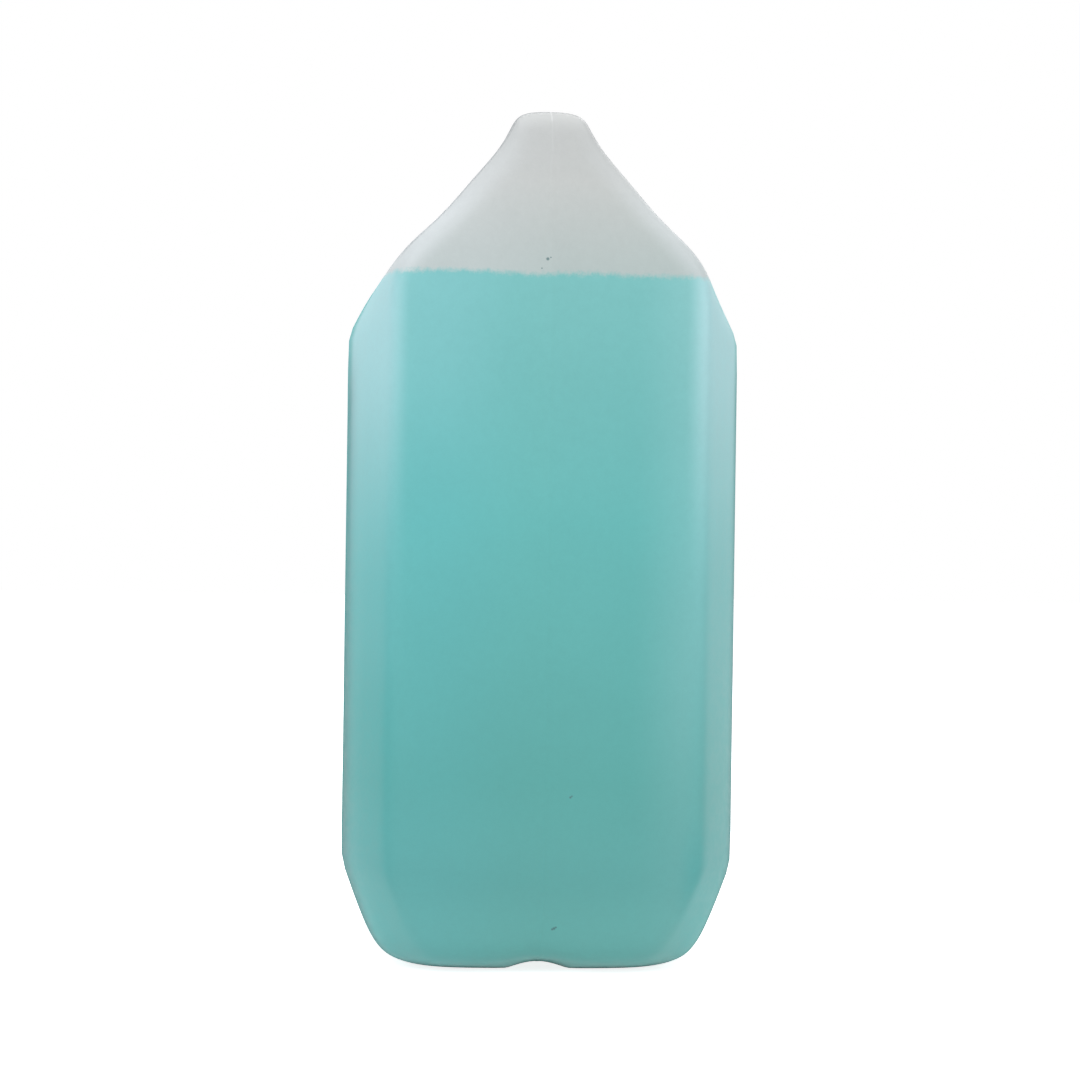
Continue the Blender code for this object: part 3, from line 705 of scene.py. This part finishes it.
def neck_rings():
    """Rings of the neck from its foot up the outside, over the rim and down the bore."""
    bead_top = BEAD_Z + BEAD_HEIGHT
    foot = (NECK_RADIUS + NECK_FILLET, NECK_BASE_Z + NECK_FILLET)
    rings = [(r, z, False) for r, z in rounded(foot, NECK_FILLET, 270, 180)[1:]]
    profile = [
        (NECK_RADIUS, BEAD_Z - FIT_GAP * 2),
        (NECK_RADIUS + FIT_GAP, BEAD_Z - FIT_GAP),
        (BEAD_RADIUS - FIT_GAP, BEAD_Z),
        (BEAD_RADIUS, BEAD_Z + FIT_GAP),
        (BEAD_RADIUS, BEAD_Z + NECK_EDGE * 2),
        (BEAD_RADIUS - NECK_EDGE / 3, bead_top - NECK_EDGE),
        (BEAD_RADIUS - NECK_EDGE, bead_top - FIT_GAP / 2),
        (NECK_RADIUS + FIT_GAP, bead_top + NECK_EDGE),
    ]
    rings += [(r, z, False) for r, z in profile]
    threaded = steps_between(bead_top + NECK_EDGE * 2, RIM_Z - NECK_EDGE, THREAD_RING_STEP)
    rings += [(NECK_RADIUS, z, True) for z in threaded]
    outer_edge = (NECK_RADIUS - NECK_EDGE, RIM_Z - NECK_EDGE)
    inner_edge = (NECK_BORE_RADIUS + NECK_EDGE, RIM_Z - NECK_EDGE)
    rings += [(r, z, False) for r, z in rounded(outer_edge, NECK_EDGE, 0, 90)[1:]]
    rings += [(r, z, False) for r, z in rounded(inner_edge, NECK_EDGE, 90, 180)]
    rings += [(NECK_BORE_RADIUS, z, False) for z in (BEAD_Z, NECK_BASE_Z - WALL / 2)]
    rings.append((NECK_BORE_RADIUS + NECK_EDGE, NECK_BASE_Z - WALL, False))
    return rings


def angle_about_neck(point):
    return math.atan2(point.co.y - NECK_Y, point.co.x) % (2 * math.pi)


def bridge(bm, ring, following):
    count = len(ring)
    for n in range(count):
        bm.faces.new((ring[n], ring[(n + 1) % count], following[(n + 1) % count], following[n]))


def make_jug():
    bm = fine_surface()
    sink_walls(bm)
    add_seam(bm)
    opening = {end for edge in bm.edges if edge.is_boundary for end in edge.verts}
    ring = sorted(opening, key=angle_about_neck)
    angles = [angle_about_neck(point) for point in ring]
    for point, angle in zip(ring, angles):
        point.co = around_neck(NECK_RADIUS + NECK_FILLET, angle, NECK_BASE_Z)
    bm.normal_update()
    inner = {}
    for point in bm.verts[:]:
        depth = WALL * min(point.calc_shell_factor(), 1.4)
        inner[point] = bm.verts.new(point.co - point.normal * depth)
    for face in bm.faces[:]:
        bm.faces.new([inner[point] for point in reversed(face.verts[:])])
    inner_ring = [inner[point] for point in ring]
    for radius, z, threaded in neck_rings():
        made = []
        for angle in angles:
            out = radius
            if threaded:
                out += thread_height(angle, z, NECK_THREAD_Z, NECK_THREAD_TURNS)
            made.append(bm.verts.new(around_neck(out, angle, z)))
        bridge(bm, ring, made)
        ring = made
    bridge(bm, ring, inner_ring)
    mesh = bpy.data.meshes.new("jug_wall")
    bm.to_mesh(mesh)
    bm.free()
    jug = add_object("jug_wall", mesh)
    mesh.shade_smooth()
    mesh.set_sharp_from_angle(angle=math.radians(SHARP_DEG))
    return jug


def lathe(name, rings, segments):
    """A closed turned mesh. Each ring is a function of the angle that gives (radius, z), or a
    height alone for a point on the axis."""
    bm = bmesh.new()
    angles = [2 * math.pi * n / segments for n in range(segments)]
    made = []
    for ring in rings:
        if callable(ring):
            points = []
            for angle in angles:
                radius, z = ring(angle)
                points.append(bm.verts.new(around_neck(radius, angle, z)))
            made.append(points)
        else:
            made.append(bm.verts.new((0.0, NECK_Y, ring)))
    for one, two in zip(made, [*made[1:], made[0]]):
        if isinstance(one, list) and isinstance(two, list):
            bridge(bm, one, two)
        elif isinstance(one, list):
            for n in range(segments):
                bm.faces.new((one[n], one[(n + 1) % segments], two))
        elif isinstance(two, list):
            for n in range(segments):
                bm.faces.new((two[(n + 1) % segments], two[n], one))
    bmesh.ops.recalc_face_normals(bm, faces=bm.faces[:])
    mesh = bpy.data.meshes.new(name)
    bm.to_mesh(mesh)
    bm.free()
    mesh.shade_smooth()
    mesh.set_sharp_from_angle(angle=math.radians(SHARP_DEG))
    return add_object(name, mesh)


def plain(radius, z):
    return lambda angle: (radius, z)


def rib_wave(angle):
    """1 on a rib's crest, 0 in the groove between two ribs."""
    share = abs((angle * RIB_COUNT / (2 * math.pi) + 0.5) % 1.0 - 0.5)
    return 1 - ease(share, 0.12, 0.30)


def ribbed(z, strength):
    root = CAP_RADIUS - RIB_DEPTH
    return lambda angle: (root + RIB_DEPTH * strength * rib_wave(angle), z)


def threaded_bore(z):
    def ring(angle):
        height = thread_height(angle, z, CAP_THREAD_Z, CAP_THREAD_TURNS)
        return CAP_BORE_RADIUS - height, z

    return ring


def make_cap():
    skirt_top = CAP_TOP_Z - CAP_EDGE
    land_top = SKIRT_Z + CAP_LAND_HEIGHT
    root = CAP_RADIUS - RIB_DEPTH
    recess_z = CAP_TOP_Z - CAP_RECESS_DEPTH
    rings = [
        recess_z - GATE_DEPTH,
        plain(GATE_RADIUS * 0.5, recess_z - GATE_DEPTH * 0.9),
        plain(GATE_RADIUS * 0.85, recess_z - GATE_DEPTH * 0.25),
        plain(GATE_RADIUS, recess_z),
        plain(GATE_RADIUS * 1.5, recess_z),
        plain(CAP_RECESS_RADIUS * 0.5, recess_z),
        plain(CAP_RECESS_RADIUS - 0.0006, recess_z),
        plain(CAP_RECESS_RADIUS - 0.0003, recess_z + CAP_RECESS_DEPTH * 0.2),
        plain(CAP_RECESS_RADIUS, recess_z + CAP_RECESS_DEPTH * 0.8),
        plain(CAP_RECESS_RADIUS + 0.0003, CAP_TOP_Z),
    ]
    for radius, z in rounded((root - CAP_EDGE, skirt_top), CAP_EDGE, 90, 20, 5):
        rings.append(plain(radius, z))
    rings.append(ribbed(skirt_top, 0.35))
    rings.append(ribbed(skirt_top - 0.0004, 0.8))
    for z in steps_between(skirt_top - 0.0008, land_top + 0.0006, 0.002):
        rings.append(ribbed(z, 1.0))
    rings.append(ribbed(land_top + 0.0002, 0.7))
    rings.append(plain(root + RIB_DEPTH * 0.55, land_top))
    rings.append(plain(root + RIB_DEPTH * 0.8, land_top - 0.0003))
    rings.append(plain(root + RIB_DEPTH * 0.8, SKIRT_Z + 0.0002))
    rings.append(plain(root + RIB_DEPTH * 0.5, SKIRT_Z))
    rings.append(plain(CAP_BORE_RADIUS + 0.0002, SKIRT_Z))
    rings.append(plain(CAP_BORE_RADIUS, SKIRT_Z + 0.0002))
    thread_top = CAP_THREAD_Z + THREAD_PITCH * CAP_THREAD_TURNS + THREAD_ROOT_WIDTH
    for z in steps_between(SKIRT_Z + 0.0003, thread_top, THREAD_RING_STEP):
        rings.append(threaded_bore(z))
    rings.append(plain(CAP_BORE_RADIUS, CAP_CEILING_Z - 0.0003))
    rings.append(plain(CAP_BORE_RADIUS - 0.0003, CAP_CEILING_Z))
    rings.append(CAP_CEILING_Z)
    return lathe("cap_shell", rings, RIB_COUNT * SEGMENTS_PER_RIB)


def make_liner():
    radius = CAP_BORE_RADIUS - FIT_GAP
    top = LINER_Z + LINER_THICKNESS
    edge = 0.00015
    rings = [
        top,
        plain(radius - edge, top),
        plain(radius, top - edge),
        plain(radius, LINER_Z + edge),
        plain(radius - edge, LINER_Z),
        plain(NECK_RADIUS + 0.0002, LINER_Z),
        plain(NECK_RADIUS - 0.0003, LINER_Z + LINER_DENT),
        plain(NECK_BORE_RADIUS + 0.0003, LINER_Z + LINER_DENT),
        plain(NECK_BORE_RADIUS - 0.0002, LINER_Z),
        LINER_Z,
    ]
    return lathe("liner_disc", rings, 96)


def make_band():
    inner = BEAD_RADIUS + BAND_TO_BEAD
    outer = inner + BAND_WALL
    lip = NECK_RADIUS + BAND_LIP_CLEARANCE
    foot = BAND_TOP_Z - BAND_HEIGHT
    lip_top = foot + BAND_LIP_HEIGHT
    profile = [
        (outer - BAND_EDGE / 2, BAND_TOP_Z),
        (outer, BAND_TOP_Z - BAND_EDGE / 2),
        (outer, mix(foot, BAND_TOP_Z, 0.5)),
        (outer, foot + BAND_EDGE),
        (outer - BAND_EDGE / 3, foot + BAND_EDGE / 3),
        (outer - BAND_EDGE, foot),
        (inner, foot),
        (lip, lip_top - BAND_EDGE * 2),
        (lip, lip_top),
        (inner, lip_top + BAND_EDGE),
        (inner, BAND_TOP_Z - BAND_EDGE / 2),
        (inner + BAND_EDGE / 2, BAND_TOP_Z),
    ]
    segments = BRIDGE_COUNT * SEGMENTS_PER_BRIDGE
    band = lathe("band_ring", [plain(r, z) for r, z in profile], segments)
    bm = bmesh.new()
    bm.from_mesh(band.data)
    bm.faces.ensure_lookup_table()
    top_faces = []
    for face in bm.faces:
        middle = face.calc_center_median()
        if min(point.co.z for point in face.verts) < BAND_TOP_Z - MERGE:
            continue
        angle = math.atan2(middle.y - NECK_Y, middle.x) % (2 * math.pi)
        if int(angle / (2 * math.pi) * segments) % SEGMENTS_PER_BRIDGE in (7, 8):
            top_faces.append(face)
    made = bmesh.ops.extrude_face_region(bm, geom=top_faces)
    bmesh.ops.delete(bm, geom=top_faces, context="FACES_ONLY")
    raised = [part for part in made["geom"] if isinstance(part, bmesh.types.BMVert)]
    for point in raised:
        radius = Vector((point.co.x, point.co.y - NECK_Y)).length
        drawn = mix(radius, (inner + outer) / 2, 0.35) / radius
        point.co.x *= drawn
        point.co.y = NECK_Y + (point.co.y - NECK_Y) * drawn
        point.co.z += BRIDGE_HEIGHT
    bm.to_mesh(band.data)
    bm.free()
    band.data.set_sharp_from_angle(angle=math.radians(SHARP_DEG))
    return band


# Materials
def to_linear(value):
    value /= 255
    return value / 12.92 if value <= 0.04045 else ((value + 0.055) / 1.055) ** 2.4


def colour(red, green, blue):
    """A colour that is written as it looks on a screen, from 0 to 255."""
    return (to_linear(red), to_linear(green), to_linear(blue), 1.0)


class Shader:
    """A material's node tree, with short calls for the nodes that it uses."""

    def __init__(self, name, roughness):
        self.material = bpy.data.materials.new(name)
        self.material.use_nodes = True
        self.tree = self.material.node_tree
        self.surface = self.tree.nodes["Principled BSDF"]
        self.surface.inputs["Roughness"].default_value = roughness
        own = self.tree.nodes.new("ShaderNodeTexCoord").outputs
        self.place = own["Object"]
        self.x, self.y, self.z = self.parts_of(self.place)
        self.facing_y = self.parts_of(own["Normal"])[1]

    def parts_of(self, vector):
        node = self.tree.nodes.new("ShaderNodeSeparateXYZ")
        self.tree.links.new(vector, node.inputs[0])
        return node.outputs

    def feed(self, socket, value):
        if isinstance(value, bpy.types.NodeSocket):
            self.tree.links.new(value, socket)
        else:
            socket.default_value = value

    def math(self, operation, *values):
        node = self.tree.nodes.new("ShaderNodeMath")
        node.operation = operation
        for socket, value in zip(node.inputs, values):
            self.feed(socket, value)
        return node.outputs[0]

    def product(self, first, second):
        return self.math("MULTIPLY", first, second)

    def ramp(self, value, low, high, to_low=0.0, to_high=1.0):
        """A smooth step of value from low to high."""
        node = self.tree.nodes.new("ShaderNodeMapRange")
        node.interpolation_type = "SMOOTHSTEP"
        for socket, given in zip(node.inputs, (value, low, high, to_low, to_high)):
            self.feed(socket, given)
        return node.outputs[0]

    def gradient(self, height, stops):
        """A colour that changes with height through the stops."""
        low, high = stops[0][0], stops[-1][0]
        along = self.tree.nodes.new("ShaderNodeMapRange")
        for socket, given in zip(along.inputs, (height, low, high)):
            self.feed(socket, given)
        node = self.tree.nodes.new("ShaderNodeValToRGB")
        ramp = node.color_ramp
        while len(ramp.elements) < len(stops):
            ramp.elements.new(0.5)
        for element, (at, shade) in zip(ramp.elements, stops):
            element.position = (at - low) / (high - low)
            element.color = colour(*shade)
        self.tree.links.new(along.outputs[0], node.inputs[0])
        return node.outputs[0]

    def blend(self, share, first, second, kind="MIX"):
        node = self.tree.nodes.new("ShaderNodeMix")
        node.data_type = "RGBA"
        node.blend_type = kind
        self.feed(node.inputs[0], share)
        self.feed(node.inputs[6], first)
        self.feed(node.inputs[7], second)
        return node.outputs[2]

    def stretched(self, scale):
        node = self.tree.nodes.new("ShaderNodeVectorMath")
        node.operation = "MULTIPLY"
        self.feed(node.inputs[0], self.place)
        self.feed(node.inputs[1], scale)
        return node.outputs[0]

    def noise(self, scale, detail=2.0, vector=None):
        node = self.tree.nodes.new("ShaderNodeTexNoise")
        self.feed(node.inputs["Vector"], vector or self.place)
        self.feed(node.inputs["Scale"], scale)
        self.feed(node.inputs["Detail"], detail)
        return node.outputs[0]

    def distance(self, vector, point):
        node = self.tree.nodes.new("ShaderNodeVectorMath")
        node.operation = "DISTANCE"
        self.feed(node.inputs[0], vector)
        self.feed(node.inputs[1], point)
        return node.outputs["Value"]

    def around(self, value, size):
        """A noise value from 0 to 1 made a signed amount of about that size."""
        return self.product(self.math("SUBTRACT", value, 0.5), size)

    def bump(self, height, distance, normal=None):
        node = self.tree.nodes.new("ShaderNodeBump")
        self.feed(node.inputs["Height"], height)
        self.feed(node.inputs["Distance"], distance)
        if normal is not None:
            self.feed(node.inputs["Normal"], normal)
        return node.outputs[0]


def tinted_colour(made):
    """The wall where liquid stands behind it, lighter upwards and at the foot as painted light, paler
    on the cheeks beside the end panels partly for the thinner liquid and partly as painted light, with
    painted light on the sides and painted shade low on the right foot.
    """
    side = made.math("ABSOLUTE", made.math("ADD", made.x, CHEEK_SHIFT))
    end = made.math("ABSOLUTE", made.y)
    base = made.gradient(made.z, TINT_AND_PAINTED_LIGHT)
    base = made.blend(made.ramp(made.x, *COOL_SIDE), base, COOL_SHADE, "MULTIPLY")

    # Painted light: the wall lighter towards the right, less so near the base, and towards the left
    # high up
    right = made.ramp(made.x, *RIGHT_GLOW, 0.0, RIGHT_GLOW_SHARE)
    right_rise = made.ramp(made.z, *RIGHT_GLOW_RISE, RIGHT_GLOW_LEAST, 1.0)
    left = made.ramp(made.x, *LEFT_GLOW, 0.0, LEFT_GLOW_SHARE)
    left_rise = made.ramp(made.z, *LEFT_GLOW_RISE)
    painted_glow = made.math("ADD", made.product(right, right_rise), made.product(left, left_rise))
    base = made.blend(painted_glow, base, colour(*PALE_TINT_AND_PAINTED_LIGHT))

    # Cheeks paler, partly for the thinner liquid behind them and partly painted light from the side
    # lamps, more so higher up
    cheek = made.product(made.ramp(side, *CHEEK_INNER), made.ramp(end, *CHEEK_ALONG))
    cheek = made.product(cheek, made.ramp(side, *CHEEK_OUTER, 1.0, 0.0))
    base = made.blend(cheek, base, CHEEK_SHADE, "MULTIPLY")
    # Painted shade low on the right cheek at the rear
    foot = made.product(made.ramp(made.x, *FOOT_ACROSS), made.ramp(made.z, *FOOT_RISE, 1.0, 0.0))
    foot = made.product(foot, made.ramp(made.y, *FOOT_ALONG))
    base = made.blend(foot, base, PAINTED_FOOT_SHADE, "MULTIPLY")
    low = made.ramp(made.z, *CHEEK_LOW, 0.0, CHEEK_LOW_SHARE)
    high = made.ramp(made.z, *CHEEK_HIGH, 0.0, CHEEK_HIGH_SHARE)
    return made.blend(made.product(cheek, made.math("ADD", low, high)), base, colour(*PALE_TINT_AND_PAINTED_LIGHT))


def milky_colour(made):
    """The wall above the liquid, with painted light: lighter on the left and a painted highlight
    towards the gable's edges.
    """
    side = made.math("ABSOLUTE", made.x)
    base = made.gradient(made.z, MILKY)
    # Painted light: the milky wall lighter towards the left
    left = made.ramp(made.x, *MILKY_LEFT, 0.0, MILKY_LEFT_SHARE)
    base = made.blend(left, base, colour(*PAINTED_LIGHT_MILK))
    # Painted highlight along the gable's flanks, stronger on the left
    rise = made.product(made.math("MINIMUM", made.z, FLANK_TOP), FLANK_SLOPE)
    rim = made.math("SUBTRACT", made.math("ADD", side, rise), FLANK_REACH)
    strength = made.ramp(
        made.x, -FLANK_MIDDLE, FLANK_MIDDLE, FLANK_LEFT_SHARE, FLANK_RIGHT_SHARE
    )
    strength = made.product(strength, made.ramp(made.z, *FLANK_FADE, 1.0, FLANK_LEAST))
    share = made.product(made.ramp(rim, *FLANK_RIM), strength)
    return made.blend(share, base, colour(*PAINTED_LIGHT_MILK))


def painted_corner_shade(made):
    """Painted shade on the corners round the two ends, where the wall turns away."""
    turned = made.math("ABSOLUTE", made.facing_y)
    corner = made.product(made.ramp(turned, *TURN_STARTS), made.ramp(turned, *TURN_ENDS, 1.0, 0.0))
    corner = made.product(corner, made.ramp(made.math("ABSOLUTE", made.y), *SHADE_ALONG))
    above = made.ramp(made.z, NO_SHADE_Z, SHOULDER_Z)
    front_roof = made.product(above, made.ramp(made.y, *FRONT_ROOF_ALONG))
    rear_roof = made.product(above, made.ramp(made.z, *REAR_ROOF_TOP, 1.0, 0.0))
    left_out = made.math("MAXIMUM", front_roof, rear_roof)
    return made.product(corner, made.math("SUBTRACT", 1.0, left_out))


def wall_colour(made, grain, cloud, broad):
    """Milky above the liquid and tinted by it below, with a soft, uneven edge between, and painted
    shade on the corners round the ends.
    """
    wander = made.noise(40.0, 1.0)
    ragged = made.math("ADD", made.around(grain, LEVEL_GRAIN), made.around(cloud, LEVEL_CLOUD))
    ragged = made.math("ADD", ragged, made.around(wander, LEVEL_WANDER))
    above = made.math("ADD", made.math("SUBTRACT", made.z, LEVEL_Z), ragged)
    edge = made.ramp(above, -LEVEL_SOFTNESS, LEVEL_SOFTNESS)
    base = made.blend(edge, tinted_colour(made), milky_colour(made))
    base = made.blend(painted_corner_shade(made), base, PAINTED_EDGE_SHADE, "MULTIPLY")

    mottle = made.math("ADD", made.around(broad, 0.07), made.around(cloud, 0.06))
    mottle = made.math("ADD", made.math("ADD", mottle, made.around(grain, 0.05)), 1.0)
    return made.blend(1.0, base, mottle, "MULTIPLY")


def jug_material():
    """Natural polyethylene as it comes from the mould, with a few dark flecks and its seam."""
    made = Shader("natural_polyethylene_wall", 0.42)
    grain = made.noise(1400.0, 3.0)
    cloud = made.noise(420.0, 2.0)
    broad = made.noise(26.0, 2.0)
    base = wall_colour(made, grain, cloud, broad)

    near_seam = made.ramp(made.math("ABSOLUTE", made.x), *SEAM_EDGE, 1.0, 0.0)
    on_gable = made.ramp(made.z, *SEAM_GABLE, 0.0, SEAM_GABLE_SHARE)
    on_crown = made.ramp(made.z, *SEAM_CROWN, 0.0, SEAM_CROWN_SHARE)
    seam = made.product(near_seam, made.math("ADD", on_gable, on_crown))
    base = made.blend(seam, base, colour(*SEAM_WHITE))

    flat = made.stretched((1.0, 0.0, 1.0))
    flecks = 0.0
    for x, z, radius in FLECKS:
        spot = made.ramp(made.distance(flat, (x, 0.0, z)), radius * 0.4, radius * 1.4, 1.0, 0.0)
        flecks = made.math("MAXIMUM", flecks, spot)
    rear = made.ramp(made.y, -0.070, -0.072, 0.0, 0.85)
    base = made.blend(made.product(flecks, rear), base, colour(*FLECK))
    made.feed(made.surface.inputs["Base Color"], base)

    # Surface of the mould: fine peel, slow waves and marks drawn down the parison
    peel = made.bump(made.noise(420.0, 2.0), 0.00002)
    waves = made.bump(made.noise(45.0, 1.0), 0.0002, peel)
    drag = made.bump(made.noise(1.0, 2.0, made.stretched((260.0, 260.0, 14.0))), 0.00002, waves)
    made.feed(made.surface.inputs["Normal"], drag)
    made.feed(made.surface.inputs["Roughness"], made.ramp(cloud, 0.3, 0.7, 0.40, 0.48))
    grazing = made.tree.nodes.new("ShaderNodeLayerWeight").outputs["Facing"]
    made.feed(made.surface.inputs["Specular IOR Level"], made.ramp(grazing, 0.6, 0.95, 0.35, 0.0))
    return made.material


def cap_material(name, rough):
    made = Shader(name, rough)
    broad = made.noise(90.0, 2.0)
    base = made.blend(broad, colour(224, 225, 222), colour(232, 232, 229))
    made.feed(made.surface.inputs["Base Color"], base)
    grain = made.bump(made.noise(2200.0, 2.0), 0.00003)
    made.feed(made.surface.inputs["Normal"], grain)
    made.feed(made.surface.inputs["Roughness"], made.ramp(broad, 0.3, 0.7, rough - 0.04, rough + 0.04))
    return made.material


def liner_material():
    made = Shader("foam_disc", 0.8)
    cells = made.noise(1600.0, 3.0)
    base = made.blend(cells, colour(214, 214, 208), colour(226, 226, 221))
    made.feed(made.surface.inputs["Base Color"], base)
    made.feed(made.surface.inputs["Normal"], made.bump(cells, 0.00008))
    return made.material


def liquid_material():
    made = Shader("tinted_contents", 0.08)
    depth = made.ramp(made.z, 0.0, LEVEL_Z)
    cloud = made.noise(30.0, 2.0)
    base = made.blend(depth, colour(58, 146, 140), colour(88, 178, 174))
    base = made.blend(made.ramp(cloud, 0.3, 0.7, 0.0, 0.2), base, colour(104, 190, 186))
    made.feed(made.surface.inputs["Base Color"], base)
    made.surface.inputs["IOR"].default_value = 1.34
    return made.material


# Studio
def background_share(tree):
    """1 for rays that see the background, 0 for rays that light the object."""
    path = tree.nodes.new("ShaderNodeLightPath")
    total = path.outputs["Is Camera Ray"]
    for name in ("Is Glossy Ray", "Is Transmission Ray"):
        node = tree.nodes.new("ShaderNodeMath")
        node.operation = "MAXIMUM"
        tree.links.new(total, node.inputs[0])
        tree.links.new(path.outputs[name], node.inputs[1])
        total = node.outputs[0]
    return total


def make_world():
    world = bpy.data.worlds.new("studio")
    world.use_nodes = True
    bpy.context.scene.world = world
    tree = world.node_tree
    light = tree.nodes["Background"]
    light.inputs["Color"].default_value = (0.93, 0.96, 1.0, 1.0)
    light.inputs["Strength"].default_value = 0.45
    seen = tree.nodes.new("ShaderNodeBackground")
    seen.inputs["Color"].default_value = (1.0, 1.0, 1.0, 1.0)
    seen.inputs["Strength"].default_value = 1.0
    chosen = tree.nodes.new("ShaderNodeMixShader")
    tree.links.new(background_share(tree), chosen.inputs[0])
    tree.links.new(light.outputs[0], chosen.inputs[1])
    tree.links.new(seen.outputs[0], chosen.inputs[2])
    tree.links.new(chosen.outputs[0], tree.nodes["World Output"].inputs["Surface"])


def make_floor():
    bm = bmesh.new()
    bmesh.ops.create_grid(bm, x_segments=1, y_segments=1, size=6.0)
    mesh = bpy.data.meshes.new("floor")
    bm.to_mesh(mesh)
    bm.free()
    floor = add_object("floor", mesh)
    floor.location.z = cad_low.z - 0.0001
    material = bpy.data.materials.new("floor")
    material.use_nodes = True
    tree = material.node_tree
    tree.nodes.remove(tree.nodes["Principled BSDF"])
    matt = tree.nodes.new("ShaderNodeBsdfDiffuse")
    matt.inputs["Color"].default_value = (0.82, 0.82, 0.82, 1.0)
    lift = tree.nodes.new("ShaderNodeEmission")
    strength = tree.nodes.new("ShaderNodeMath")
    strength.operation = "MULTIPLY"
    strength.inputs[1].default_value = 0.82
    tree.links.new(background_share(tree), strength.inputs[0])
    tree.links.new(strength.outputs[0], lift.inputs["Strength"])
    total = tree.nodes.new("ShaderNodeAddShader")
    tree.links.new(matt.outputs[0], total.inputs[0])
    tree.links.new(lift.outputs[0], total.inputs[1])
    tree.links.new(total.outputs[0], tree.nodes["Material Output"].inputs["Surface"])
    mesh.materials.append(material)


def add_lamp(name, place, size, power, tint):
    data = bpy.data.lights.new(name, "AREA")
    data.shape = "RECTANGLE"
    data.size, data.size_y = size
    data.energy = power
    data.color = tint
    lamp = bpy.data.objects.new(name, data)
    bpy.context.scene.collection.objects.link(lamp)
    lamp.location = place
    aim = Vector((0.0, 0.0, 0.14)) - lamp.location
    lamp.rotation_mode = "QUATERNION"
    lamp.rotation_quaternion = aim.to_track_quat("-Z", "Y")


def light_studio():
    add_lamp("key", (-0.9, -1.3, 1.0), (0.9, 0.9), 10.0, (0.96, 0.98, 1.0))
    add_lamp("fill", (1.3, -1.1, 0.8), (1.0, 1.0), 6.0, (1.0, 1.0, 1.0))
    add_lamp("top", (0.0, 0.1, 1.6), (1.3, 1.3), 9.0, (1.0, 1.0, 1.0))
    add_lamp("back", (0.2, 1.5, 0.9), (1.2, 0.9), 7.0, (1.0, 1.0, 1.0))


def dress():
    jug = make_jug()
    jug.data.materials.append(jug_material())
    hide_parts("jug")
    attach(jug, "bottle")

    cap = make_cap()
    cap.data.materials.append(cap_material("white_cap", 0.42))
    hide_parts("screw_cap")
    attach(cap, "cap")

    band = make_band()
    band.data.materials.append(cap_material("white_band", 0.44))
    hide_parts("tamper_band")
    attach(band, "bottle")

    liner = make_liner()
    liner.data.materials.append(liner_material())
    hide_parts("cap_liner")
    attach(liner, "liner")

    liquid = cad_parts["liquid"]
    liquid.data.materials.clear()
    liquid.data.materials.append(liquid_material())


dress()
make_world()
make_floor()
light_studio()
bpy.context.scene.view_settings.view_transform = "Standard"
